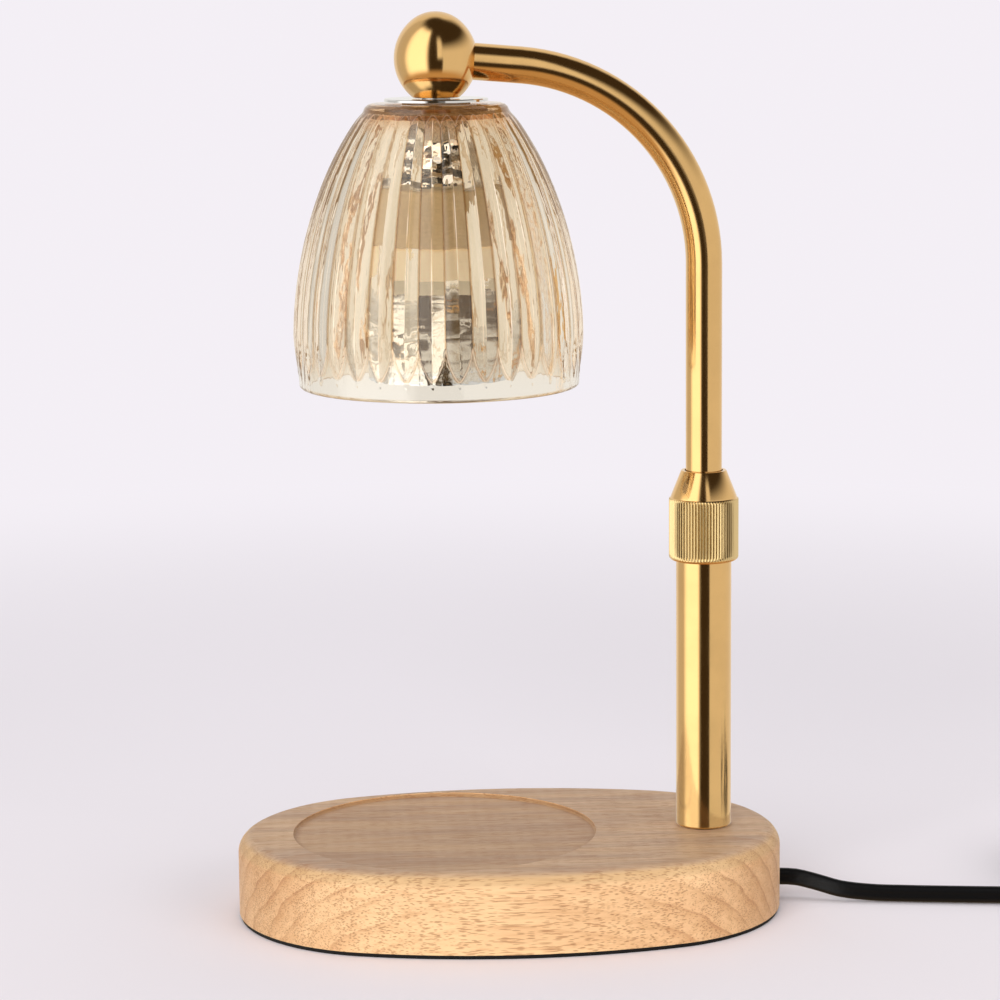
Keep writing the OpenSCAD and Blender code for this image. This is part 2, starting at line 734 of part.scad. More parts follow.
module glass_shade() {
    outer = concat(
        [for (q = shoulder_round) ring_of(q[0], q[1], outer_cols)],
        [for (z = ribbed_z) ribbed_ring(z)],
        [ring_of(rim_r, shade_rim + 1, outer_cols), ring_of(rim_r - glass_t / 2, shade_rim, outer_cols)]);
    inner_foot_z = shade_rim + 1.2;
    inner_top_z = shade_top - glass_top_t;
    inner_zs = [
        for (k = [0, 0.2, 0.4, 0.6, 0.76, 0.88, 0.96]) inner_foot_z + (inner_top_z - inner_foot_z) * k
    ];
    inner = concat(
        [for (z = inner_zs) ring_of(smooth_r(z) - glass_t, z, rib_count)],
        [ring_of(glass_hole_r + 9, inner_top_z, rib_count), ring_of(glass_hole_r, inner_top_z, rib_count),
         ring_of(glass_hole_r, shade_top, rib_count)]);
    no = len(outer);
    ni = len(inner);
    base = no * outer_cols;
    points = concat([for (r = outer) each r], [for (r = inner) each r]);
    function o(i, j) = i * outer_cols + j % outer_cols;
    function n(i, j) = base + i * rib_count + j % rib_count;
    // Bands of squares down the outside and up the inside
    outer_faces = [
        for (i = [0:no - 2], j = [0:outer_cols - 1])
        each [[o(i, j), o(i, j + 1), o(i + 1, j)], [o(i, j + 1), o(i + 1, j + 1), o(i + 1, j)]]
    ];
    inner_faces = [
        for (i = [0:ni - 2], j = [0:rib_count - 1])
        each [[n(i, j), n(i, j + 1), n(i + 1, j)], [n(i, j + 1), n(i + 1, j + 1), n(i + 1, j)]]
    ];
    // Rings of triangles that join a ring of many points to one of few, at the rim and at the top
    rim_faces = [
        for (j = [0:rib_count - 1]) each concat(
            [
                for (k = [0:rib_steps - 1])
                let (i = j * rib_steps + k) [o(no - 1, i), o(no - 1, i + 1), n(0, j)]
            ],
            [[o(no - 1, (j + 1) * rib_steps), n(0, j + 1), n(0, j)]])
    ];
    top_faces = [
        for (j = [0:rib_count - 1]) each concat(
            [
                for (k = [0:rib_steps - 1])
                let (i = j * rib_steps + k) [o(0, i + 1), o(0, i), n(ni - 1, j)]
            ],
            [[n(ni - 1, j + 1), o(0, (j + 1) * rib_steps), n(ni - 1, j)]])
    ];
    color(amber) translate([head_x, 0, 0])
        polyhedron(points, concat(outer_faces, inner_faces, rim_faces, top_faces), convexity = 10);
}

// Lamp holder and bulb ---------------------------------------------------------------------------

bracket_leg_x = 9;
bracket_foot_x = 16;
bracket_w = 12;
bracket_screw_x = 13;

module holder_bracket() {
    color(steel) translate([head_x, 0, 0]) difference() {
        translate([0, bracket_w / 2, 0]) rotate([90, 0, 0]) linear_extrude(bracket_w) {
            translate([-bracket_leg_x - bracket_t, bracket_top - bracket_t])
                square([2 * (bracket_leg_x + bracket_t), bracket_t]);
            for (s = [0, 1]) mirror([s, 0]) {
                translate([bracket_leg_x, holder_top]) square([bracket_t, bracket_h]);
                translate([bracket_leg_x, holder_top]) square([bracket_foot_x - bracket_leg_x, bracket_t]);
            }
        }
        translate([0, 0, holder_top]) cylinder(h = far, r = rod_od / 2 + seat_gap);
        for (s = [-1, 1]) translate([s * bracket_screw_x, 0, holder_top - 1]) cylinder(h = 5, r = 1.7);
    }
}

module bracket_nut() {
    color(steel) translate([head_x, 0, 0]) hex_nut(bracket_nut_z, thin_nut_t, rod_od / 2 + seat_gap);
}

module bracket_screws() {
    screw_l = 8;
    color(steel) for (s = [-1, 1]) translate([head_x + s * bracket_screw_x, 0, holder_top + bracket_t]) {
        difference() {
            cylinder(h = 1.8, r = 2.6);
            translate([-3, -0.4, 1]) cube([6, 0.8, 2]);
        }
        translate([0, 0, -bracket_t - screw_l]) cylinder(h = screw_l + bracket_t + eps, r = 1.5);
    }
}

pin_neck_r = 1.6;
pin_head_r = 2.5;
pin_neck_h = 3.2;
pin_head_h = 3.4;
pin_gap = 0.35;
plate_t = 2.3;

// Arc that a pin sweeps in the twist, as a flat slot of half width r
module pin_arc(r) {
    for (s = [0, 180]) rotate(s) {
        for (a = [0, -bulb_twist]) rotate(a) translate([pin_span / 2, 0]) circle(r);
        intersection() {
            difference() {
                circle(pin_span / 2 + r);
                circle(max(0.1, pin_span / 2 - r));
            }
            polygon([[0, 0], [far, 0], [far * cos(bulb_twist), -far * sin(bulb_twist)]]);
        }
    }
}

module lampholder() {
    color(ceramic) translate([head_x, 0, 0]) difference() {
        translate([0, 0, holder_bottom]) rotate_extrude() {
            square([holder_r - 1, holder_h]);
            translate([0, 1]) square([holder_r, holder_h - 2]);
            for (z = [1, holder_h - 1]) translate([holder_r - 1, z]) circle(1);
        }
        translate([0, 0, holder_bottom - 1]) linear_extrude(plate_t + 1 + eps) {
            pin_arc(pin_neck_r + pin_gap);
            for (s = [0, 180]) rotate(s - bulb_twist)
                translate([pin_span / 2, 0]) circle(pin_head_r + pin_gap);
        }
        translate([0, 0, holder_bottom + plate_t])
            linear_extrude(pin_neck_h + pin_head_h - plate_t + pin_gap) pin_arc(pin_head_r + pin_gap);
        for (s = [-1, 1]) translate([s * bracket_screw_x, 0, holder_top - 8.5])
            cylinder(h = 10, r = 1.5 + seat_gap);
    }
}

module arm_lead() {
    steps = 9;
    // The run up the arm and through the bend, then round the corner in the ball and down the nipple
    turn_r = 6.5;
    straight = [for (z = [post_top + 0.2, post_top + 20, bend_z - 30, bend_z - 12]) [post_x, 0, z]];
    bend = [
        for (i = [0:steps])
        let (a = bend_angle * i / steps) [bend_x + bend_r * cos(a), 0, bend_z + bend_r * sin(a)]
    ];
    to_ball = [
        for (k = [0.45, 0.72])
        [bend_end[0] + (head_x - bend_end[0]) * k, 0, bend_end[1] + (ball_z - bend_end[1]) * k]
    ];
    corner = [[0.85, -0.06], [0.3, -0.45], [0, -1.3]];
    p = concat(straight, bend, to_ball,
        [for (c = corner) [head_x + turn_r * c[0], 0, ball_z + turn_r * c[1]]],
        [for (z = [nipple_bottom, holder_top]) [head_x, 0, z]]);
    color(black) swept(p, [for (q = p) [0, 1, 0]], six_section(cord_w, cord_t));
}

bulb_base_r = 15;
bulb_stem_r = 6.5;
bulb_stem_h = 6;
capsule_r = 4.5;
pin_root = 5.8;

module bulb_base() {
    color([0.95, 0.93, 0.88]) translate([head_x, 0, 0]) difference() {
        union() {
            translate([0, 0, reflector_top]) rotate_extrude() {
                square([bulb_base_r - 1, bulb_foot_h]);
                translate([0, 1]) square([bulb_base_r, bulb_foot_h - 2]);
                for (z = [1, bulb_foot_h - 1]) translate([bulb_base_r - 1, z]) circle(1);
            }
            translate([0, 0, reflector_top - bulb_stem_h]) cylinder(h = bulb_stem_h + eps, r = bulb_stem_r);
        }
        for (s = [-1, 1]) translate([s * pin_span / 2, 0, bulb_top - pin_root])
            cylinder(h = far, r = pin_neck_r + seat_gap);
        translate([0, 0, reflector_top - bulb_stem_h - 1]) cylinder(h = 5, r = capsule_r + seat_gap);
    }
}

module bulb_pins() {
    color(steel) translate([head_x, 0, 0]) for (s = [-1, 1]) translate([s * pin_span / 2, 0, bulb_top]) {
        translate([0, 0, -pin_root]) cylinder(h = pin_root + pin_neck_h + eps, r = pin_neck_r);
        translate([0, 0, pin_neck_h]) cylinder(h = pin_head_h, r = pin_head_r);
    }
}

// Outline of the reflector: a straight rim, then one arc in to the neck
module reflector_outline(inset) {
    rim_h = 3;
    neck_r = 9;
    floor_t = inset > 0 ? 2 : 0;
    drop = bulb_r - neck_r;
    rise = reflector_h - rim_h;
    arc_r = (pow(drop, 2) + pow(rise, 2)) / (2 * drop);
    intersection() {
        union() {
            square([bulb_r - inset, rim_h]);
            intersection() {
                translate([bulb_r - arc_r, rim_h]) circle(arc_r - inset);
                translate([0, rim_h]) square([far, rise]);
            }
        }
        square([far, reflector_h - floor_t]);
    }
}

reflector_wall = 1.6;

module bulb_reflector() {
    color([0.86, 0.87, 0.88]) translate([head_x, 0, bulb_front]) difference() {
        rotate_extrude() reflector_outline(0);
        rotate_extrude() reflector_outline(reflector_wall);
        translate([0, 0, -1]) cylinder(h = 2, r = bulb_r - reflector_wall);
        translate([0, 0, reflector_h - 8]) cylinder(h = 20, r = bulb_stem_r + seat_gap);
    }
}

module bulb_lens() {
    color([0.92, 0.95, 0.96, 0.5]) translate([head_x, 0, bulb_front + 0.4])
        cylinder(h = 1.8, r = bulb_r - reflector_wall - seat_gap);
}

module bulb_capsule() {
    capsule_h = 20;
    color([0.95, 0.95, 0.92]) translate([head_x, 0, reflector_top - 2.1 - capsule_h]) rotate_extrude()
        intersection() {
            union() {
                translate([0, capsule_r]) square([capsule_r, capsule_h - capsule_r]);
                translate([0, capsule_r]) circle(capsule_r);
            }
            square([far, far]);
        }
}

// Free cord, its switch and its plug -------------------------------------------------------------

module flat_cord(p) {
    color(black) swept(p, [for (q = p) [0, 0, 1]], twin_section(cord_w, cord_t));
}

module power_cord() {
    flat_cord(cord_run);
}

module switch_lead() {
    flat_cord(switch_run);
}

module plug_lead() {
    flat_cord(plug_run);
}

function coil_r_at(t) = coil_r - coil_pitch * (t <= coil_in ? t : 2 * coil_in - t);
function smooth01(x) = let (c = clamp01(x)) c * c * (3 - 2 * c);
function coil_z_at(t) = coil_z + coil_rise * smooth01((t - coil_in) / coil_climb + 0.5);
function coil_point(t) =
    let (a = coil_start + 360 * t, r = coil_r_at(t))
    [coil_centre[0] + r * cos(a), coil_centre[1] + r * sin(a), coil_z_at(t)];

coil_turns = coil_in + coil_out;
coil_path = concat(
    [coil_point(0) - [cord_w, 0, 0]],
    [for (i = [0:coil_rings * coil_turns]) coil_point(i / coil_rings)],
    [coil_point(coil_turns) - [0, cord_w, 0]]);
coil_skin = [for (i = [0:len(coil_path) - 1]) ring(coil_path, i, [0, 0, 1], six_section(cord_w, cord_t))];

// Least distance between points of the coil's skin that are about a turn apart or more
coil_gap = min([
    for (i = [0:len(coil_skin) - 1], j = [i + coil_rings - 6:len(coil_skin) - 1])
    if (norm(coil_path[i] - coil_path[j]) < 12)
        min([for (a = coil_skin[i], b = coil_skin[j]) norm(a - b)])
]);
echo(least_gap_in_coil = coil_gap);
echo(cord_length = run_length(cord_run) + run_length(coil_path) + run_length(switch_run) + switch_l
    + run_length(plug_run));

module cord_coil() {
    color(black) tube(coil_skin);
}

// A strap round all the turns at one place
module coil_tie() {
    strap_t = 0.7;
    strap_w = 10;
    clear = 0.3;
    inner = coil_r_at(coil_in) - cord_t / 2 - clear - 0.9;
    outer = coil_r + cord_t / 2 + clear;
    low = coil_z - cord_w / 2 - clear;
    high = coil_z + coil_rise + cord_w / 2 + clear;
    color(black) translate([coil_centre[0], coil_centre[1], 0]) rotate([0, 0, 45]) difference() {
        translate([inner - strap_t, -strap_w / 2, low - strap_t])
            cube([outer - inner + 2 * strap_t, strap_w, high - low + 2 * strap_t]);
        translate([inner, -strap_w, low]) cube([outer - inner, 2 * strap_w, high - low]);
    }
}

// A flat block with rounded corners in plan and rounded long and short edges, centred on X and Y
module soft_block(l, w, h, corner, edge) {
    intersection() {
        linear_extrude(h) {
            square([l - 2 * corner, w], center = true);
            square([l, w - 2 * corner], center = true);
            for (x = [-1, 1], y = [-1, 1])
                translate([x * (l / 2 - corner), y * (w / 2 - corner)]) circle(corner);
        }
        translate([0, w, 0]) rotate([90, 0, 0]) linear_extrude(2 * w) edge_profile(l, h, edge);
        rotate([0, 0, 90]) translate([0, l, 0]) rotate([90, 0, 0])
            linear_extrude(2 * l) edge_profile(w, h, edge);
    }
}

module edge_profile(w, h, edge) {
    translate([-w / 2 + edge, 0]) square([w - 2 * edge, h]);
    translate([-w / 2, edge]) square([w, h - 2 * edge]);
    for (x = [-1, 1], z = [edge, h - edge]) translate([x * (w / 2 - edge), z]) circle(edge);
}

switch_x = switch_start[0] + switch_l / 2;
switch_y = switch_start[1];
wheel_z = switch_h / 2 - wheel_t / 2;
pivot_r = 2;
wheel_room = 0.5;
switch_screw_x = 19;

module switch_shell(z0, z1) {
    difference() {
        intersection() {
            soft_block(switch_l, switch_w, switch_h, 9, 2.5);
            translate([-far / 2, -far / 2, z0]) cube([far, far, z1 - z0]);
        }
        translate([0, 0, wheel_z - free_gap]) cylinder(h = wheel_t + 2 * free_gap, r = wheel_r + wheel_room);
    }
}

module switch_base() {
    color(black) translate([switch_x, switch_y, 0]) {
        difference() {
            switch_shell(0, switch_h / 2);
            for (s = [-1, 1]) translate([s * switch_screw_x, 0, -1]) {
                cylinder(h = far, r = 1.3);
                cylinder(h = 3.4, r = 2.6);
            }
        }
        translate([0, 0, wheel_z - free_gap - eps])
            cylinder(h = wheel_t + free_gap + 0.1, r = pivot_r);
    }
}

module switch_cover() {
    color(black) translate([switch_x, switch_y, 0]) difference() {
        switch_shell(switch_h / 2, switch_h);
        for (s = [-1, 1]) translate([s * switch_screw_x, 0, 0]) cylinder(h = switch_h - 3, r = 1.3);
    }
}

module switch_screws() {
    color(steel) for (s = [-1, 1]) translate([switch_x + s * switch_screw_x, switch_y, 0.6]) {
        cylinder(h = 1.8, r = 2.4);
        cylinder(h = switch_h - 4.2, r = 1.25);
    }
}

module switch_wheel() {
    color([0.2, 0.2, 0.21]) translate([switch_x, switch_y, wheel_z]) difference() {
        linear_extrude(wheel_t) knurl_plan(wheel_r, 0.5, 48);
        translate([0, 0, -1]) cylinder(h = far, r = pivot_r + run_gap);
    }
}

plug_relief_l = 14;
blade_t = 1.5;
blade_w = 6.4;
blade_span = 12.7;
plug_z = plug_start[2] + 0.5;

module plug_body() {
    color(black) translate([plug_start[0], plug_start[1], 0]) {
        translate([0, 0, plug_z - 0.5]) rotate([-90, 0, 0]) difference() {
            cylinder(h = plug_relief_l + 2, r1 = 4, r2 = 6.6);
            for (y = [3.4, 6.6, 9.8]) translate([0, 0, y]) ring_disc(0, 1.2, 9, 3.5);
        }
        difference() {
            translate([0, plug_relief_l + plug_l / 2, plug_z - plug_h / 2])
                soft_block(plug_w, plug_l, plug_h, 5, 3);
            for (s = [-1, 1], k = [0:4])
                translate([s * (plug_w / 2 + 0.6), plug_relief_l + 6 + 3 * k, plug_z - plug_h / 2 - 1])
                    cylinder(h = plug_h + 2, r = 1);
        }
    }
}

module plug_blades() {
    blade_y = plug_start[1] + plug_relief_l + plug_l;
    color(steel) for (s = [-1, 1])
        translate([plug_start[0] + s * blade_span / 2 - blade_t / 2, blade_y, plug_z])
            rotate([90, 0, 90]) linear_extrude(blade_t) difference() {
                union() {
                    translate([0, -blade_w / 2]) square([blade_l - 2, blade_w]);
                    translate([0, -blade_w / 2 + 2]) square([blade_l, blade_w - 4]);
                    for (y = [-1, 1]) translate([blade_l - 2, y * (blade_w / 2 - 2)]) circle(2);
                }
                translate([blade_l - 5, 0]) circle(1.6);
            }
}

wooden_base();
anti_slip_pad();
post_tube();
post_foot();
post_stud();
base_washer();
base_nut();
cord_grommet();
base_lead();
post_head();
clamp_collet();
clamp_collar();
guide_ring();
arm_tube();
arm_end_bush();
snap_ring();
lamp_ball();
ball_nipple();
shade_washer();
top_gasket();
glass_shade();
inner_gasket();
clamp_washer();
nipple_nut();
holder_bracket();
bracket_nut();
bracket_screws();
lampholder();
arm_lead();
bulb_base();
bulb_pins();
bulb_reflector();
bulb_capsule();
bulb_lens();
power_cord();
cord_coil();
switch_lead();
plug_lead();
coil_tie();
switch_base();
switch_cover();
switch_screws();
switch_wheel();
plug_body();
plug_blades();
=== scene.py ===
import math
import random

import bmesh
import bpy
from mathutils import Matrix, Vector


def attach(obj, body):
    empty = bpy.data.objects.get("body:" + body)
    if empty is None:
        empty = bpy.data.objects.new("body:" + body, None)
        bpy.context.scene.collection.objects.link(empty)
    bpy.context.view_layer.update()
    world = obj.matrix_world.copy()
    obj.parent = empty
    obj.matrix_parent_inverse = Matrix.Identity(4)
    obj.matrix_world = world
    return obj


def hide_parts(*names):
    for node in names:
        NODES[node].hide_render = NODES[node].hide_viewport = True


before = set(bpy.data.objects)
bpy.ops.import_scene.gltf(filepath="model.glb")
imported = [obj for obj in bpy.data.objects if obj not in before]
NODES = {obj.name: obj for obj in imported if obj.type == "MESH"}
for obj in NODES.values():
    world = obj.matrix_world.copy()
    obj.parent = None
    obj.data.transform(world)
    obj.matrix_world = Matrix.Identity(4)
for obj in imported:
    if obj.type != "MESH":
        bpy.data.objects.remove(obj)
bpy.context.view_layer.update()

bl_info = {
    "name": "Candle Warmer Lamp",
    "version": (1, 0, 0),
    "blender": (4, 5, 0),
    "location": "View3D > Sidebar > Lamp",
    "description": "Dresses the candle warmer lamp: gold, wood, ribbed glass, cord and studio",
    "category": "Object",
}

MM = 0.001
POST_X = 71.0 * MM
HEAD_X = -23.6 * MM


# Settings ---------------------------------------------------------------------------------------

class ShadeSettings(bpy.types.PropertyGroup):
    """Sizes of the ribbed glass"""
    crest_radius: bpy.props.FloatProperty(
        name="Crest radius", description="Largest radius of the glass over its ribs",
        default=0.0515, min=0.04, max=0.06, unit="LENGTH", precision=4)
    rim_height: bpy.props.FloatProperty(
        name="Rim height", description="Height of the rim above the table",
        default=0.19264, unit="LENGTH", precision=5)
    height: bpy.props.FloatProperty(
        name="Height", description="Height of the glass from rim to top",
        default=0.100, unit="LENGTH", precision=4)
    wall: bpy.props.FloatProperty(
        name="Wall", description="Wall of the glass between the ribs",
        default=0.0026, min=0.001, max=0.005, unit="LENGTH", precision=4)
    ribs: bpy.props.IntProperty(
        name="Ribs", description="Number of ribs round the glass", default=34, min=16, max=48)
    steps: bpy.props.IntProperty(
        name="Steps", description="Columns of the mesh in one rib", default=16, min=8, max=24)
    tint: bpy.props.FloatVectorProperty(
        name="Tint", description="Colour that the light takes at each surface of the glass",
        default=(0.945, 0.872, 0.745), size=3, subtype="COLOR", min=0, max=1)
    shoulder_tint: bpy.props.FloatVectorProperty(
        name="Shoulder tint", description="Deeper tint at the shoulder",
        default=(0.84, 0.55, 0.31), size=3, subtype="COLOR", min=0, max=1)
    # Painted shade: the tint painted into the lines between the ribs
    valley_shade_tint: bpy.props.FloatVectorProperty(
        name="Valley tint", description="Tint of the lines between the ribs",
        default=(0.52, 0.31, 0.13), size=3, subtype="COLOR", min=0, max=1)
    # Painted glow: the colour that deep paths in the glass give out
    painted_wall_glow: bpy.props.FloatVectorProperty(
        name="Caught light", description="Colour of the light that runs inside the wall",
        default=(0.80, 0.45, 0.18), size=3, subtype="COLOR", min=0, max=1)
    rim_tint: bpy.props.FloatVectorProperty(
        name="Rim tint", description="Fainter tint of the smooth band over the rim",
        default=(0.955, 0.905, 0.815), size=3, subtype="COLOR", min=0, max=1)


class MetalSettings(bpy.types.PropertyGroup):
    """Colours of the metals"""
    gold: bpy.props.FloatVectorProperty(
        name="Gold", description="Colour of the polished gold plating",
        default=(0.84, 0.53, 0.215), size=3, subtype="COLOR", min=0, max=1)
    # Painted sheen: the knurled band's colour is painted paler than the gold
    knurl: bpy.props.FloatVectorProperty(
        name="Knurl", description="Colour of the knurled band",
        default=(0.83, 0.62, 0.30), size=3, subtype="COLOR", min=0, max=1)
    steel: bpy.props.FloatVectorProperty(
        name="Steel", description="Colour of the zinc-plated steel",
        default=(0.62, 0.62, 0.63), size=3, subtype="COLOR", min=0, max=1)


class WoodSettings(bpy.types.PropertyGroup):
    """Colours of the wooden base"""
    light: bpy.props.FloatVectorProperty(
        name="Light wood", description="Colour of the pale wood",
        default=(0.96, 0.64, 0.34), size=3, subtype="COLOR", min=0, max=1)
    dark: bpy.props.FloatVectorProperty(
        name="Dark wood", description="Colour of the dark bands of the grain",
        default=(0.57, 0.28, 0.115), size=3, subtype="COLOR", min=0, max=1)
    pore: bpy.props.FloatVectorProperty(
        name="Pores", description="Colour of the pores",
        default=(0.38, 0.15, 0.05), size=3, subtype="COLOR", min=0, max=1)
    # Painted shade: the flat top is painted darker and greyer than the sides
    top: bpy.props.FloatVectorProperty(
        name="Top wood", description="Colour of the flat top, which is greyer than the sides",
        default=(0.51, 0.335, 0.230), size=3, subtype="COLOR", min=0, max=1)


class CordSettings(bpy.types.PropertyGroup):
    """Sizes and colour of the twin cord"""
    width: bpy.props.FloatProperty(
        name="Width", description="Width of the flat twin cord",
        default=0.0064, unit="LENGTH", precision=4)
    thickness: bpy.props.FloatProperty(
        name="Thickness", description="Thickness of the flat twin cord",
        default=0.0034, unit="LENGTH", precision=4)
    colour: bpy.props.FloatVectorProperty(
        name="Cord colour", description="Colour of the cord, the plug and the dimmer",
        default=(0.0035, 0.0035, 0.004), size=3, subtype="COLOR", min=0, max=1)


class StudioSettings(bpy.types.PropertyGroup):
    """The camera and the room"""
    lens: bpy.props.FloatProperty(
        name="Lens", description="Focal length in millimetres", default=120.636)
    place: bpy.props.FloatVectorProperty(
        name="Camera place", description="Where the camera stands",
        default=(-0.07814, -1.18179, 0.34497), size=3, subtype="TRANSLATION", unit="LENGTH")
    yaw: bpy.props.FloatProperty(
        name="Yaw", description="Turn of the camera about the vertical",
        default=-0.064, subtype="ANGLE", unit="ROTATION")
    pitch: bpy.props.FloatProperty(
        name="Pitch", description="How far the camera looks down",
        default=0.1624, subtype="ANGLE", unit="ROTATION")
    roll: bpy.props.FloatProperty(
        name="Roll", description="Tilt of the camera about its own line of sight",
        default=-0.009, subtype="ANGLE", unit="ROTATION")
    backdrop: bpy.props.FloatVectorProperty(
        name="Backdrop", description="Colour of the backdrop",
        default=(0.905, 0.865, 0.915), size=3, subtype="COLOR", min=0, max=1)
    floor: bpy.props.FloatVectorProperty(
        name="Floor", description="Colour of the floor",
        default=(0.82, 0.775, 0.81), size=3, subtype="COLOR", min=0, max=1)
    gap_colour: bpy.props.FloatVectorProperty(
        name="Gaps", description="Colour that shiny surfaces mirror between the panels",
        default=(0.048, 0.034, 0.020), size=3, subtype="COLOR", min=0, max=1)
    bounce_colour: bpy.props.FloatVectorProperty(
        name="Bounce", description="Warm light that shiny surfaces mirror from below",
        default=(0.62, 0.42, 0.24), size=3, subtype="COLOR", min=0, max=1)


# Shared helpers ---------------------------------------------------------------------------------

def new_object(name, bm, material, body, smooth_angle=40, stands_for=()):
    """Makes an object from a bmesh, gives it a material and puts it on a body"""
    mesh = bpy.data.meshes.new(name)
    bm.to_mesh(mesh)
    bm.free()
    piece = bpy.data.objects.new(name, mesh)
    bpy.context.scene.collection.objects.link(piece)
    mesh.materials.append(material)
    shade_smooth(piece, smooth_angle)
    if body:
        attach(piece, body)
    if stands_for:
        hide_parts(*stands_for)
    return piece


def shade_smooth(piece, angle=40):
    """Smooth shading with creases where faces meet at more than angle degrees"""
    mesh = piece.data
    mesh.shade_smooth()
    mesh.set_sharp_from_angle(angle=math.radians(angle))


def turned(profile, centre, steps=96, closed=False, sectors=4):
    """A turned shape: profile is a list of (radius, height) points, spun about a vertical axis
    over one sector, which is then repeated"""
    bm = bmesh.new()
    cx, cy = centre
    points = [bm.verts.new((cx + r, cy, z)) for r, z in profile]
    edges = [bm.edges.new(pair) for pair in zip(points, points[1:])]
    if closed:
        edges.append(bm.edges.new((points[-1], points[0])))
    sector = 2 * math.pi / sectors
    bmesh.ops.spin(bm, geom=points + edges, cent=(cx, cy, 0), axis=(0, 0, 1),
                   angle=sector, steps=steps // sectors)
    first = bm.verts[:] + bm.edges[:] + bm.faces[:]
    for i in range(1, sectors):
        made = bmesh.ops.duplicate(bm, geom=first)["geom"]
        bmesh.ops.rotate(bm, verts=[v for v in made if isinstance(v, bmesh.types.BMVert)],
                         cent=(cx, cy, 0), matrix=Matrix.Rotation(sector * i, 3, "Z"))
    bmesh.ops.remove_doubles(bm, verts=bm.verts, dist=1e-6)
    bmesh.ops.recalc_face_normals(bm, faces=bm.faces)
    return bm


def arc(cx, cz, radius, start, end, steps):
    """Points of an arc in a profile, angles in degrees"""
    return [(cx + radius * math.cos(math.radians(start + (end - start) * i / steps)),
             cz + radius * math.sin(math.radians(start + (end - start) * i / steps)))
            for i in range(steps + 1)]


def swept(path, sides, section):
    """A tube along a path: each ring is extruded from the last and moved to its place.
    sides holds the direction of the section's wide side at each point."""
    bm = bmesh.new()

    def ring_points(i):
        ahead = path[min(i + 1, len(path) - 1)] - path[max(i - 1, 0)]
        ahead.normalize()
        wide = sides[i] - ahead * sides[i].dot(ahead)
        wide.normalize()
        thin = ahead.cross(wide)
        return [path[i] + wide * u + thin * v for u, v in section]

    ring = [bm.verts.new(p) for p in ring_points(0)]
    count = len(ring)
    edges = [bm.edges.new((ring[k], ring[(k + 1) % count])) for k in range(count)]
    bm.faces.new(ring)
    for i in range(1, len(path)):
        made = bmesh.ops.extrude_edge_only(bm, edges=edges)["geom"]
        follows = {}
        for old, edge in zip(ring, edges):
            for link in old.link_edges:
                other = link.other_vert(old)
                if other in made and other not in ring:
                    follows[old] = other
        ring = [follows[old] for old in ring]
        for vert, place in zip(ring, ring_points(i)):
            vert.co = place
        edges = [bm.edges.get((ring[k], ring[(k + 1) % count])) for k in range(count)]
    bm.faces.new(ring)
    bmesh.ops.recalc_face_normals(bm, faces=bm.faces)
    return bm


def smooth_path(points, spacing):
    """Points about spacing apart on a smooth curve through the given ones"""
    out = []
    last = len(points) - 1
    for i in range(last):
        p0, p1 = points[max(i - 1, 0)], points[i]
        p2, p3 = points[i + 1], points[min(i + 2, last)]
        d1, d2, d3 = ((b - a).length ** 0.5 or 1e-6 for a, b in ((p0, p1), (p1, p2), (p2, p3)))
        m1 = ((p1 - p0) / d1 - (p2 - p0) / (d1 + d2) + (p2 - p1) / d2) * d2 if i else p2 - p1
        m2 = (((p2 - p1) / d2 - (p3 - p1) / (d2 + d3) + (p3 - p2) / d3) * d2
              if i < last - 1 else p2 - p1)
        steps = max(2, math.ceil((p2 - p1).length / spacing))
        for k in range(steps):
            t = k / steps
            out.append(p1 * (2 * t ** 3 - 3 * t ** 2 + 1) + m1 * (t ** 3 - 2 * t ** 2 + t)
                       + p2 * (3 * t ** 2 - 2 * t ** 3) + m2 * (t ** 3 - t ** 2))
    out.append(points[-1])
    return out


def clamp(x, low, high):
    return max(low, min(high, x))


def clamp01(x):
    return clamp(x, 0.0, 1.0)


# Material helpers -------------------------------------------------------------------------------

def socket(node, name):
    return node.inputs[name]


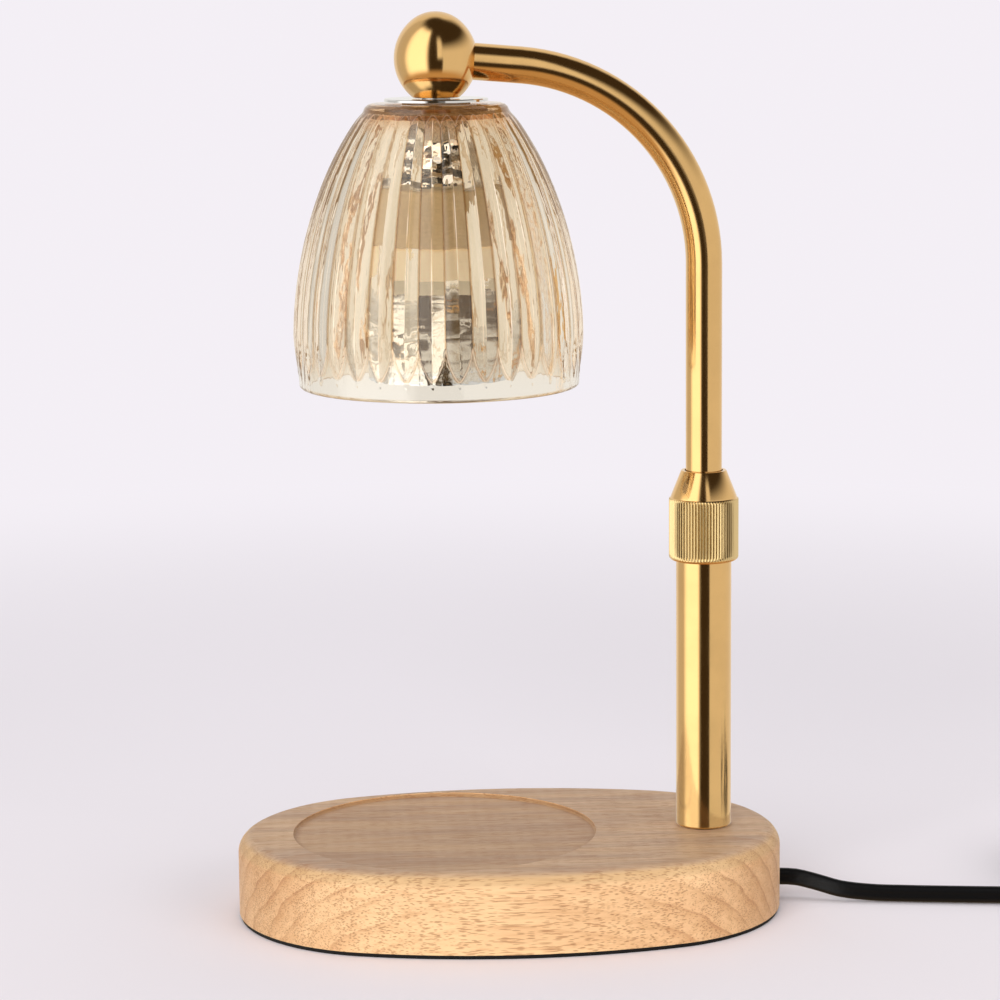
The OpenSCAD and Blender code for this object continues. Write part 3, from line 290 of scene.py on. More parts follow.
class Wiring:
    """A short hand for a material's or a group's nodes"""

    def __init__(self, tree):
        self.tree = tree

    def node(self, kind, **settings):
        made = self.tree.nodes.new(kind)
        for name, value in settings.items():
            setattr(made, name, value)
        return made

    def link(self, output, target):
        self.tree.links.new(output, target)

    def put(self, target, value):
        """Links value into target if it is a socket, and sets it otherwise"""
        if isinstance(value, bpy.types.NodeSocket):
            self.link(value, target)
        elif isinstance(value, (tuple, list)) or hasattr(value, "__len__"):
            value = tuple(value)
            target.default_value = value + (1,) if len(target.default_value) > len(value) else value
        else:
            target.default_value = value

    def math(self, operation, a, b=0.5, c=0.5, clamp=False):
        made = self.node("ShaderNodeMath", operation=operation, use_clamp=clamp)
        for target, value in zip(made.inputs, (a, b, c)):
            self.put(target, value)
        return made.outputs[0]

    def vector(self, operation, a, b=(0, 0, 0)):
        made = self.node("ShaderNodeVectorMath", operation=operation)
        self.put(made.inputs[0], a)
        self.put(made.inputs[1], b)
        return made.outputs["Value" if operation in ("LENGTH", "DOT_PRODUCT") else "Vector"]

    def mix(self, share, a, b, blend="MIX"):
        made = self.node("ShaderNodeMix", data_type="RGBA", blend_type=blend)
        self.put(made.inputs[0], share)
        self.put(made.inputs[6], a)
        self.put(made.inputs[7], b)
        return made.outputs[2]

    def span(self, value, low, high, out_low=0.0, out_high=1.0, kind="SMOOTHSTEP"):
        made = self.node("ShaderNodeMapRange", interpolation_type=kind)
        for name, item in (("Value", value), ("From Min", low), ("From Max", high),
                           ("To Min", out_low), ("To Max", out_high)):
            self.put(made.inputs[name], item)
        return made.outputs[0]

    def noise(self, vector, scale, detail=2.0, rough=0.5, distort=0.0):
        made = self.node("ShaderNodeTexNoise")
        self.put(made.inputs["Vector"], vector)
        for name, item in (("Scale", scale), ("Detail", detail), ("Roughness", rough),
                           ("Distortion", distort)):
            self.put(made.inputs[name], item)
        return made

    def mapped(self, vector, scale=(1, 1, 1), place=(0, 0, 0), turn=(0, 0, 0)):
        made = self.node("ShaderNodeMapping")
        self.put(made.inputs["Vector"], vector)
        made.inputs["Location"].default_value = place
        made.inputs["Rotation"].default_value = turn
        made.inputs["Scale"].default_value = scale
        return made.outputs[0]

    def parts(self, vector):
        made = self.node("ShaderNodeSeparateXYZ")
        self.put(made.inputs[0], vector)
        return made.outputs


def new_group(name, inputs, outputs):
    """An empty shader group with named sockets"""
    tree = bpy.data.node_groups.new(name, "ShaderNodeTree")
    kinds = {"value": "NodeSocketFloat", "colour": "NodeSocketColor", "vector": "NodeSocketVector"}
    for socket_name, kind, default in inputs:
        made = tree.interface.new_socket(name=socket_name, in_out="INPUT", socket_type=kinds[kind])
        if default is not None:
            made.default_value = default
    for socket_name, kind in outputs:
        tree.interface.new_socket(name=socket_name, in_out="OUTPUT", socket_type=kinds[kind])
    wires = Wiring(tree)
    return tree, wires, wires.node("NodeGroupInput").outputs, wires.node("NodeGroupOutput").inputs


def new_material(name, colour, roughness, metallic=0.0, **sockets):
    """A material with one principled shader; gives (material, wiring, shader, object coordinates)"""
    material = bpy.data.materials.new(name)
    material.use_nodes = True
    wires = Wiring(material.node_tree)
    shader = material.node_tree.nodes["Principled BSDF"]
    wires.put(shader.inputs["Base Color"], tuple(colour))
    shader.inputs["Roughness"].default_value = roughness
    shader.inputs["Metallic"].default_value = metallic
    for socket_name, value in sockets.items():
        wires.put(shader.inputs[socket_name.replace("_", " ")], value)
    coordinates = wires.node("ShaderNodeTexCoord").outputs["Object"]
    return material, wires, shader, coordinates


def add_bump(wires, shader, height, distance, strength=1.0):
    bump = wires.node("ShaderNodeBump")
    wires.put(bump.inputs["Height"], height)
    bump.inputs["Distance"].default_value = distance
    bump.inputs["Strength"].default_value = strength
    wires.link(bump.outputs[0], shader.inputs["Normal"])


def faint_in_mirrors(wires, shader, share):
    """The polished post mirrors the room more than what lies at its foot"""
    mirrored = wires.node("ShaderNodeLightPath").outputs["Is Glossy Ray"]
    wires.link(wires.math("MULTIPLY_ADD", mirrored, -share, 1.0), shader.inputs["Alpha"])


def use_group(wires, tree, **values):
    made = wires.node("ShaderNodeGroup")
    made.node_tree = tree
    for name, value in values.items():
        wires.put(made.inputs[name.replace("_", " ")], value)
    return made.outputs


# Shared effects ---------------------------------------------------------------------------------

def handling_group():
    """Faint smears and hair scratches that handled hard surfaces show"""
    if "handling" in bpy.data.node_groups:
        return bpy.data.node_groups["handling"]
    tree, wires, given, out = new_group(
        "handling",
        [("Vector", "vector", None), ("Roughness", "value", 0.1), ("Spread", "value", 0.05),
         ("Scale", "value", 60.0)],
        [("Roughness", "value"), ("Height", "value"), ("Mask", "value")])
    smear = wires.noise(given["Vector"], given["Scale"], 3.0, 0.6).outputs[0]
    fine = wires.noise(wires.mapped(given["Vector"], (9, 9, 1.5)), wires.math(
        "MULTIPLY", given["Scale"], 6.0), 2.0).outputs[0]
    mask = wires.span(smear, 0.35, 0.7)
    shift = wires.math("ADD", wires.math("MULTIPLY", mask, 0.7), wires.math("MULTIPLY", fine, 0.3))
    wires.link(wires.math("MULTIPLY_ADD", shift, given["Spread"], given["Roughness"]),
               out["Roughness"])
    wires.link(fine, out["Height"])
    wires.link(mask, out["Mask"])
    return tree


def speckle_group():
    """Fine grain of mouldings, castings and fired clay"""
    if "speckle" in bpy.data.node_groups:
        return bpy.data.node_groups["speckle"]
    tree, wires, given, out = new_group(
        "speckle",
        [("Vector", "vector", None), ("Scale", "value", 1500.0), ("Colour", "colour", None),
         ("Variation", "value", 0.08)],
        [("Colour", "colour"), ("Height", "value")])
    grain = wires.noise(given["Vector"], given["Scale"], 2.0, 0.6).outputs[0]
    patch = wires.noise(given["Vector"], wires.math("MULTIPLY", given["Scale"], 0.05), 3.0).outputs[0]
    level = wires.math("ADD", wires.math("MULTIPLY", grain, 0.5), wires.math("MULTIPLY", patch, 0.5))
    darker = wires.mix(1.0, given["Colour"], (0.72, 0.70, 0.68), "MULTIPLY")
    share = wires.math("MULTIPLY", wires.span(level, 0.3, 0.7), wires.math(
        "MULTIPLY", given["Variation"], 10.0), clamp=True)
    wires.link(wires.mix(share, given["Colour"], darker), out["Colour"])
    wires.link(grain, out["Height"])
    return tree


# Materials --------------------------------------------------------------------------------------

def metal(name, colour, roughness, spread=0.05, scale=60.0, bump=0.0):
    """Plated or polished metal with faint handling marks"""
    if name in bpy.data.materials:
        return bpy.data.materials[name]
    material, wires, shader, place = new_material(name, colour, roughness, 1.0)
    marks = use_group(wires, handling_group(), Vector=place, Roughness=roughness, Spread=spread,
                      Scale=scale)
    wires.link(marks["Roughness"], shader.inputs["Roughness"])
    deeper = wires.mix(marks["Mask"], tuple(colour), tuple(c * 0.94 for c in colour))
    wires.link(deeper, shader.inputs["Base Color"])
    if bump:
        add_bump(wires, shader, marks["Height"], bump)
    return material


def collar_material(settings):
    """Polished gold; the knurled band is rougher, and its colour is painted paler as a painted sheen"""
    material, wires, shader, place = new_material("collar_gold", settings.gold, 0.12, 1.0)
    z = wires.parts(place)[2]
    band = wires.math("MULTIPLY", wires.span(z, 0.1286, 0.1294), wires.span(z, 0.1508, 0.1502))
    # Painted sheen: the knurled band takes the paler knurl colour
    wires.link(wires.mix(band, tuple(settings.gold), tuple(settings.knurl)),
               shader.inputs["Base Color"])
    marks = use_group(wires, handling_group(), Vector=place, Roughness=0.11, Spread=0.05, Scale=60.0)
    wires.link(wires.math("MULTIPLY_ADD", band, 0.16, marks["Roughness"]),
               shader.inputs["Roughness"])
    return material


def moulded(name, colour, roughness, scale=1500.0, variation=0.03, bump=0.00004, faint=0.0,
            **sockets):
    """Moulded plastic, rubber or fired clay with a fine grain"""
    if name in bpy.data.materials:
        return bpy.data.materials[name]
    material, wires, shader, place = new_material(name, colour, roughness, 0.0, **sockets)
    grain = use_group(wires, speckle_group(), Vector=place, Scale=scale, Colour=tuple(colour),
                      Variation=variation)
    wires.link(grain["Colour"], shader.inputs["Base Color"])
    add_bump(wires, shader, grain["Height"], bump)
    if faint:
        faint_in_mirrors(wires, shader, faint)
    return material


def pores(wires, place, scale, rare):
    """Small cells stretched along the fibres, of which a share shows as pores"""
    cells = wires.node("ShaderNodeTexVoronoi", feature="F1")
    wires.put(cells.inputs["Vector"], wires.mapped(place, scale))
    cells.inputs["Scale"].default_value = 1.0
    chance = wires.parts(cells.outputs["Color"])[0]
    return wires.math("MULTIPLY", wires.span(cells.outputs["Distance"], 0.44, 0.20),
                      wires.span(chance, rare, rare + 0.04))


def wood_material(settings):
    """Pale hardwood: bands of growth rings, long fibres and short dark pores along X"""
    material, wires, shader, place = new_material("oiled_hardwood", settings.light, 0.5)
    x, y, z = wires.parts(place)
    # Growth rings about an axis along the foot of the front that dips towards both ends
    wander = wires.noise(wires.mapped(place, (4, 14, 14)), 1.7, 3.0, 0.55).outputs[0]
    fine_wander = wires.noise(wires.mapped(place, (10, 90, 90)), 1.5, 2.0).outputs[0]
    dip = wires.math("MULTIPLY", wires.math("MULTIPLY", x, x), 2.6)
    ring_z = wires.math("ADD", wires.math("ADD", z, 0.006), dip)
    ring_y = wires.math("ADD", y, 0.077)
    radius = wires.math("SQRT", wires.math("ADD", wires.math("MULTIPLY", ring_z, ring_z),
                                           wires.math("MULTIPLY", ring_y, ring_y)))
    radius = wires.math("ADD", radius, wires.math("MULTIPLY", wander, 0.016))
    radius = wires.math("ADD", radius, wires.math("MULTIPLY", fine_wander, 0.0016))
    year = wires.math("FRACT", wires.math("DIVIDE", radius, 0.0078))
    band = wires.math("MULTIPLY", wires.span(year, 0.25, 0.93), wires.span(year, 0.93, 1.0, 1.0, 0.0))
    uneven = wires.noise(wires.mapped(place, (9, 22, 22)), 2.2, 2.0).outputs[0]
    band = wires.math("MULTIPLY", band, wires.span(uneven, 0.32, 0.66, 0.15, 1.0))
    # A fine line ends each ring; both show most towards the ends, where the fibres are cut across
    line = wires.math("MULTIPLY", wires.span(year, 0.80, 0.90), wires.span(year, 0.94, 0.99, 1.0, 0.0))
    line = wires.math("MULTIPLY", line, wires.span(uneven, 0.30, 0.60, 0.2, 1.0))
    aside = wires.span(wires.math("ABSOLUTE", x), 0.030, 0.075, 0.25, 1.0)
    # Fibres: streaks that are long in X
    streak = wires.noise(wires.mapped(place, (30, 640, 640)), 1.0, 5.0, 0.72).outputs[0]
    broad = wires.noise(wires.mapped(place, (9, 70, 70)), 1.0, 3.0, 0.5).outputs[0]
    patch = wires.noise(wires.mapped(place, (16, 40, 40)), 1.0, 2.0, 0.5).outputs[0]
    # Pores: thin dashes along the fibres, round dots where a face cuts across them
    dash = wires.math("MAXIMUM", pores(wires, place, (70, 1900, 1900), 0.45),
                      pores(wires, place, (210, 2700, 2700), 0.45))
    facing = wires.parts(wires.node("ShaderNodeNewGeometry").outputs["Normal"])
    facing_up = facing[2]
    flat_top = wires.span(facing_up, 0.70, 0.985)
    light, dark = tuple(settings.light), tuple(settings.dark)
    body = wires.mix(wires.span(broad, 0.34, 0.68), light,
                     tuple(0.80 * a + 0.20 * b for a, b in zip(light, dark)))
    body = wires.mix(wires.span(patch, 0.35, 0.7, 0.0, 0.28), body, dark)
    end_grain = wires.span(wires.math("ABSOLUTE", facing[0]), 0.15, 0.95)
    body = wires.mix(wires.math("MULTIPLY", end_grain, 0.30), body, dark)
    body = wires.mix(wires.math("MULTIPLY", wires.math("MULTIPLY", band, aside), 0.52), body, dark)
    body = wires.mix(wires.math("MULTIPLY", wires.math("MULTIPLY", line, aside), 0.32), body,
                     (0.45, 0.19, 0.08))
    body = wires.mix(wires.span(streak, 0.45, 0.75, 0.0, 0.50), body, dark)
    body = wires.mix(wires.span(streak, 0.45, 0.24, 0.0, 0.30), body,
                     tuple(min(1.0, 1.12 * c) for c in light))
    # Painted light: the rounded edge over to the top is painted a yellow tan for the way it catches the
    # light
    painted_edge_light = wires.math("MULTIPLY", wires.span(facing_up, 0.15, 0.5), 0.45)
    body = wires.mix(painted_edge_light, body, (0.55, 0.37, 0.18))
    # Painted shade: the flat top takes its own darker, greyer colour, and the grain still shows on it
    grey = tuple(settings.top)
    top = wires.mix(wires.span(streak, 0.3, 0.72), grey, tuple(0.70 * c for c in grey))
    top = wires.mix(wires.math("MULTIPLY", band, 0.30), top, tuple(0.75 * c for c in dark))
    top = wires.mix(wires.span(broad, 0.36, 0.68, 0.0, 0.30), top, light)
    body = wires.mix(wires.math("MULTIPLY", flat_top, 0.88), body, top)
    # Painted shade: the dish is painted darker, most along its edge
    across = wires.vector("LENGTH", wires.mapped(place, (1, 1, 0), (-HEAD_X, 0, 0)))
    dish_shade_area = wires.math("MULTIPLY", wires.span(across, 0.0560, 0.0553), wires.span(z, 0.0297, 0.0293))
    edge = wires.span(across, 0.0520, 0.0548)
    tone = wires.math("MULTIPLY", dish_shade_area, wires.math("MULTIPLY_ADD", edge, 0.35, 0.30))
    body = wires.mix(tone, body, tuple(0.55 * c for c in settings.dark))
    share = wires.math("MULTIPLY", dash, wires.span(flat_top, 0, 1, 0.60, 0.42))
    wires.link(wires.mix(share, body, tuple(settings.pore)), shader.inputs["Base Color"])
    wires.link(wires.span(streak, 0.2, 0.8, 0.42, 0.58), shader.inputs["Roughness"])
    height = wires.math("SUBTRACT", wires.math("MULTIPLY", streak, 0.5), dash)
    add_bump(wires, shader, height, 0.00010)
    shader.inputs["Specular IOR Level"].default_value = 0.4
    faint_in_mirrors(wires, shader, 0.8)
    return material


def shade_glass_material(settings):
    """Pressed glass with an amber lustre: reeds and faint ripples in its surface"""
    material, wires, shader, place = new_material(
        "amber_lustre_glass", settings.tint, 0.0, 0.0, Transmission_Weight=1.0, IOR=1.56)
    ripple = wires.noise(wires.mapped(place, (1, 1, 0.3)), 260.0, 2.0, 0.5).outputs[0]
    z = wires.parts(place)[2]
    rim, top = settings.rim_height, settings.rim_height + settings.height
    low = wires.mix(wires.span(z, rim + 0.002, rim + 0.016), tuple(settings.rim_tint),
                    tuple(settings.tint))
    body = wires.mix(wires.span(z, top - 0.012, top - 0.001), low, tuple(settings.shoulder_tint))
    # Painted shade: dark lines are painted in the valleys between the ribs
    x, y, z = wires.parts(wires.mapped(place, place=(-HEAD_X, 0, 0)))
    turn = wires.math("MULTIPLY", wires.math("ARCTAN2", y, x), settings.ribs / (2 * math.pi))
    off_valley = wires.math("ABSOLUTE", wires.math("SUBTRACT", wires.math(
        "FRACT", wires.math("ADD", turn, 100.0)), 0.5))
    ribbed = wires.math("MULTIPLY", wires.span(z, rim + 0.009, rim + 0.020),
                        wires.span(z, top - 0.0035, top - 0.006))
    valley_shade = wires.math("MULTIPLY", wires.span(off_valley, 0.075, 0.02), ribbed)
    # Where a rib's ends run into the smooth glass, as in ribbed_radius
    share = wires.math("MULTIPLY_ADD", off_valley, -2.0, 1.0)
    flank = wires.math("MULTIPLY", share, wires.math("MULTIPLY_ADD", share, 0.4, 0.6))
    sunk = wires.math("MAXIMUM", wires.span(z, rim + 0.0195, rim + 0.007, kind="LINEAR"),
                      wires.span(z, top - 0.0075, top - 0.003, kind="LINEAR"))
    off_edge = wires.math("ABSOLUTE", wires.math("SUBTRACT", wires.math(
        "ADD", wires.math("POWER", sunk, 1.6), flank), 1.0))
    ends = wires.math("MULTIPLY", wires.span(sunk, 0.02, 0.10), wires.span(sunk, 1.0, 0.97))
    rib_end_shade = wires.math("MULTIPLY", wires.span(off_edge, 0.16, 0.03), ends)
    # Painted shade round the rib ends as well, at a lower share; all of it in the valley tint
    lines = wires.math("MAXIMUM", valley_shade, wires.math("MULTIPLY", rib_end_shade, 0.6))
    wires.link(wires.mix(wires.math("MULTIPLY", lines, 0.9), body, tuple(settings.valley_shade_tint)),
               shader.inputs["Base Color"])
    # Painted light: deep paths in the glass glow amber, and painted glints on the front crests and the
    # rib ends glow here and there
    rays = wires.node("ShaderNodeLightPath").outputs
    patches = wires.noise(wires.mapped(place, (1, 1, 0.25)), 150.0, 2.0).outputs[0]
    crest_glints = wires.math("MULTIPLY", wires.span(off_valley, 0.468, 0.492), ribbed)
    crest_glints = wires.math("MULTIPLY", crest_glints, wires.span(patches, 0.40, 0.62))
    painted_glints = wires.math("MAXIMUM", crest_glints, wires.math(
        "MULTIPLY", wires.span(off_edge, 0.07, 0.02, 0.0, 0.6), ends))
    painted_glints = wires.math("MULTIPLY", painted_glints, wires.span(rays["Ray Depth"], 0.5, 1.5, 1.0, 0.0, "LINEAR"))
    painted_wall_glow = wires.span(rays["Ray Depth"], 3.5, 4.5, 0.0, 0.13, "LINEAR")
    wires.link(wires.mix(wires.math("MINIMUM", painted_glints, 1.0), tuple(settings.painted_wall_glow), (1.0, 0.97, 0.92)),
               shader.inputs["Emission Color"])
    wires.link(wires.math("MULTIPLY_ADD", painted_glints, 0.42, painted_wall_glow), shader.inputs["Emission Strength"])
    add_bump(wires, shader, ripple, 0.00007)
    return material


def clear_glass_material():
    if "clear_glass" in bpy.data.materials:
        return bpy.data.materials["clear_glass"]
    material, wires, shader, place = new_material(
        "clear_glass", (0.97, 0.98, 0.98), 0.02, 0.0, Transmission_Weight=1.0, IOR=1.5)
    ripple = wires.noise(place, 260.0, 2.0).outputs[0]
    add_bump(wires, shader, ripple, 0.00005)
    return material


def reflector_material():
    """Silvered glass with rows of facets, as on a reflector bulb"""
    material, wires, shader, place = new_material("silvered_facets", (0.77, 0.81, 0.87), 0.1, 1.0)
    centred = wires.mapped(place, place=(-HEAD_X, 0, 0))
    x, y, z = wires.parts(centred)
    turn = wires.math("MULTIPLY", wires.math("ARCTAN2", y, x), 20 / (2 * math.pi))
    rows = wires.math("MULTIPLY", z, 170.0)
    across = wires.math("SUBTRACT", wires.math("FRACT", turn), 0.5)
    along = wires.math("SUBTRACT", wires.math("FRACT", rows), 0.5)
    dome = wires.math("ADD", wires.math("MULTIPLY", across, across),
                      wires.math("MULTIPLY", along, along))
    wavy = wires.noise(place, 160.0, 2.0).outputs[0]
    height = wires.math("ADD", wires.math("MULTIPLY", dome, -0.6), wavy)
    add_bump(wires, shader, height, 0.0011)
    marks = use_group(wires, handling_group(), Vector=place, Roughness=0.07, Spread=0.08, Scale=90.0)
    wires.link(marks["Roughness"], shader.inputs["Roughness"])
    return material


def foil_material():
    """Crumpled foil: its facets painted from dark to bright as painted reflections, and the brightest
    made to glow as painted glints
    """
    material, wires, shader, place = new_material("crumpled_foil", (0.9, 0.89, 0.86), 0.18, 0.9)
    cells = wires.node("ShaderNodeTexVoronoi", feature="F1")
    wires.put(cells.inputs["Vector"], wires.mapped(place, (1, 1, 0.6)))
    cells.inputs["Scale"].default_value = 700.0
    chance = wires.parts(cells.outputs["Color"])[0]
    # Painted reflections: the facets are painted from dark to bright; painted glints: the brightest glow
    wires.link(wires.mix(wires.span(chance, 0.15, 0.7), (0.10, 0.095, 0.085), (1.0, 0.99, 0.96)),
               shader.inputs["Base Color"])
    shader.inputs["Emission Color"].default_value = (1.0, 0.98, 0.94, 1)
    wires.link(wires.span(chance, 0.72, 0.86, 0.0, 0.9), shader.inputs["Emission Strength"])
    add_bump(wires, shader, cells.outputs["Distance"], 0.0006)
    return material


def cord_material(settings):
    """Black PVC with a soft sheen and faint drag marks along the cord"""
    if "black_pvc" in bpy.data.materials:
        return bpy.data.materials["black_pvc"]
    return moulded("black_pvc", settings.colour, 0.32, 900.0, 0.05, 0.00005, 0.8,
                   Specular_IOR_Level=0.25)


def dress(material, *names):
    """Gives CAD nodes a material"""
    for name in names:
        node = NODES[name]
        node.data.materials.clear()
        node.data.materials.append(material)


# Camera -----------------------------------------------------------------------------------------

class LAMP_OT_camera(bpy.types.Operator):
    """Sets up the camera at the photograph's angle"""
    bl_idname = "lamp.camera"
    bl_label = "Camera"

    def execute(self, context):
        s = context.scene.lamp_studio
        back = Vector((math.sin(s.yaw) * math.cos(s.pitch), -math.cos(s.yaw) * math.cos(s.pitch),
                       math.sin(s.pitch)))
        right = (-back).cross(Vector((0, 0, 1))).normalized()
        up = right.cross(-back)
        turned_right = right * math.cos(s.roll) + up * math.sin(s.roll)
        turned_up = up * math.cos(s.roll) - right * math.sin(s.roll)
        data = bpy.data.cameras.new("camera")
        data.lens = s.lens
        data.sensor_width = 36
        data.clip_start = 0.05
        data.clip_end = 30
        camera = bpy.data.objects.new("camera", data)
        context.scene.collection.objects.link(camera)
        turn = Matrix((turned_right, turned_up, back)).transposed().to_4x4()
        camera.matrix_world = Matrix.Translation(Vector(s.place)) @ turn
        context.scene.camera = camera
        return {"FINISHED"}


# Cord -------------------------------------------------------------------------------------------

CORD_RUN = [
    (98.5, 4, 8), (100, 4, 8), (105.5, 3.2, 7.8), (113, 0.5, 6.4), (121, -2.6, 4.6), (132, -5, 3.6),
    (144, -7, 3.4), (160, -9.6, 3.4), (178, -12.2, 3.4), (194, -14, 3.4), (208, -15, 3.7),
    (218, -15, 4.2), (225.6, -15, 4.2)]
SWITCH_RUN = [
    (196, 17.6, 11.1), (196, 15, 11.1), (196, 5, 11.2), (196, -6, 11.3), (196, -17, 11.3),
    (196.6, -27, 9.4), (200, -38, 6), (207, -46.4, 4), (215, -50.8, 4.6), (221.6, -52, 7), (228, -52, 7)]
PLUG_RUN = [
    (278, -52, 7), (280, -52, 7), (286, -51.4, 6.5), (294, -48.2, 4.6), (301, -41.4, 3.6),
    (305, -33, 4.4), (306, -25.6, 7), (306, -20.5, 7.5), (306, -18, 7.5)]


def coil_point(turn):
    """A point of the coil, turn turns from its start: in side by side, then out one layer up"""
    turns_in, pitch, rise = 3.25, 4.0, 6.9
    radius = 39 - pitch * (turn if turn <= turns_in else 2 * turns_in - turn)
    share = clamp01((turn - turns_in) / 0.5 + 0.5)
    height = 4.2 + rise * share * share * (3 - 2 * share)
    angle = math.radians(-90 + 360 * turn)
    return Vector((232 + radius * math.cos(angle), 24 + radius * math.sin(angle), height))


def twin_section(width, thickness, steps=7):
    """Two round cores side by side with a groove between them"""
    q = thickness / 2
    h = width / 2 - q
    out = []
    for side in (1, -1):
        for k in range(steps):
            a = math.radians(-118 + 236 * k / (steps - 1))
            out.append((side * (h + q * math.cos(a)), side * q * math.sin(a)))
    return out


class LAMP_OT_cords(bpy.types.Operator):
    """Builds the twin cord with its coil and the lead to the plug"""
    bl_idname = "lamp.cords"
    bl_label = "Cords"

    def execute(self, context):
        s = context.scene.lamp_cord
        material = cord_material(s)
        section = twin_section(s.width, s.thickness)
        coil = [coil_point(0) - Vector((6.4, 0, 0))]
        coil += [coil_point(i / 40) for i in range(int(40 * 5.75) + 1)]
        coil.append(coil_point(5.75) - Vector((0, 6.4, 0)))
        run = [Vector(p) for p in CORD_RUN]
        lead = [Vector(p) for p in SWITCH_RUN]
        path = smooth_path(run[:-1] + coil[:1], 3.0)[:-1] + coil + smooth_path(lead, 3.0)[1:]
        self.add(context, "twin_cord", path, section, material,
                 ("power_cord", "cord_coil", "switch_lead"), (0.0985, 0.004, 0.008), "fitting",
                 ["switch_base", "switch_cover", "switch_screws", "switch_wheel"])
        path = smooth_path([Vector(p) for p in PLUG_RUN], 2.0)
        self.add(context, "plug_cord", path, section, material, ("plug_lead",),
                 (0.278, -0.052, 0.007), "plug", ["plug_body", "plug_blades"])
        return {"FINISHED"}

    def add(self, context, name, path, section, material, nodes, leaves, far_end, on_it):
        path = [p * MM for p in path]
        bm = swept(path, [Vector((0, 0, 1))] * len(path), section)
        piece = new_object(name, bm, material, "root", 70, nodes)


# Glass shade ------------------------------------------------------------------------------------

def bell(s, z):
    """Radius over the crests of the ribs at height z"""
    belly = s.rim_height + 0.0184
    if z <= belly:
        return s.crest_radius
    return s.crest_radius * (1 - ((z - belly) / 0.095) ** 1.82) ** (1 / 1.82)


def rib_height(s, z):
    return 0.0013 * (bell(s, z) / s.crest_radius) ** 2


def smooth_radius(s, z):
    """Radius of the smooth glass that the ribs stand on"""
    belly = s.rim_height + 0.0184
    tuck = 1.6 * (belly - z) ** 2 if z < belly else 0
    return bell(s, z) - rib_height(s, z) - tuck


def ribbed_radius(s, z, share):
    """Radius of the glass at height z, share of the half pitch away from a crest"""
    tip, top = s.rim_height + 0.007, s.rim_height + s.height - 0.003
    sunk = max(clamp01((tip + 0.0125 - z) / 0.0125) ** 1.6,
               clamp01((z - top + 0.0045) / 0.0045) ** 1.6)
    flank = share * (0.6 + 0.4 * share)
    return max(smooth_radius(s, z), bell(s, z) - rib_height(s, z) * (sunk + flank))


class LAMP_OT_shade(bpy.types.Operator):
    """Builds the ribbed glass shade"""
    bl_idname = "lamp.shade"
    bl_label = "Glass shade"

    def execute(self, context):
        s = context.scene.lamp_shade
        rim, top = s.rim_height, s.rim_height + s.height
        shoulder = smooth_radius(s, top - 0.003)
        edge = smooth_radius(s, rim + 0.0013) - s.wall / 2
        ribbed = [top - 0.003 - 0.0075 * i / 15 for i in range(16)]
        ribbed += [ribbed[-1] + (rim + 0.0205 - ribbed[-1]) * i / 18 for i in range(1, 19)]
        ribbed += [rim + 0.0205 - 0.0150 * i / 40 for i in range(1, 41)]
        profile = [(0.0053, top)]
        profile += [(shoulder - 0.0044, top), (shoulder - 0.0030, top - 0.00012),
                    (shoulder - 0.0018, top - 0.0005), (shoulder - 0.0008, top - 0.0013)]
        profile += [(smooth_radius(s, z), z) for z in ribbed]
        profile += [(smooth_radius(s, z), z) for z in (rim + 0.0042, rim + 0.0027)]
        profile += arc(edge, rim + s.wall / 2, s.wall / 2, 0, -180, 18)
        inner_top = top - 0.0034
        for i in range(17):
            z = rim + 0.0027 + (inner_top - 0.004 - rim - 0.0027) * i / 16
            profile.append((smooth_radius(s, z) - s.wall, z))
        last = profile[-1]
        profile += [(last[0] - 0.0009, last[1] + 0.0018), (last[0] - 0.0026, last[1] + 0.0033),
                    (last[0] - 0.0055, inner_top), (0.0053, inner_top)]
        steps = s.ribs * s.steps
        bm = turned(profile, (HEAD_X, 0), steps, True, s.ribs)
        top_z, foot_z = top - 0.003, rim + 0.0055
        outer_limit = s.wall * 0.5
        for vert in bm.verts:
            dx, dy = vert.co.x - HEAD_X, vert.co.y
            radius = math.hypot(dx, dy)
            z = vert.co.z
            if not foot_z - 1e-6 <= z <= top_z + 1e-6 or radius < smooth_radius(s, z) - outer_limit:
                continue
            place = math.atan2(dy, dx) / (2 * math.pi) * s.ribs
            share = abs(place - round(place)) * 2
            scale = ribbed_radius(s, z, share) / radius
            vert.co.x, vert.co.y = HEAD_X + dx * scale, dy * scale
        new_object("ribbed_shade", bm, shade_glass_material(s), "arm", 12,
                   ("glass_shade",))
        return {"FINISHED"}


# Gold, steel and the rest of the CAD nodes ------------------------------------------------------

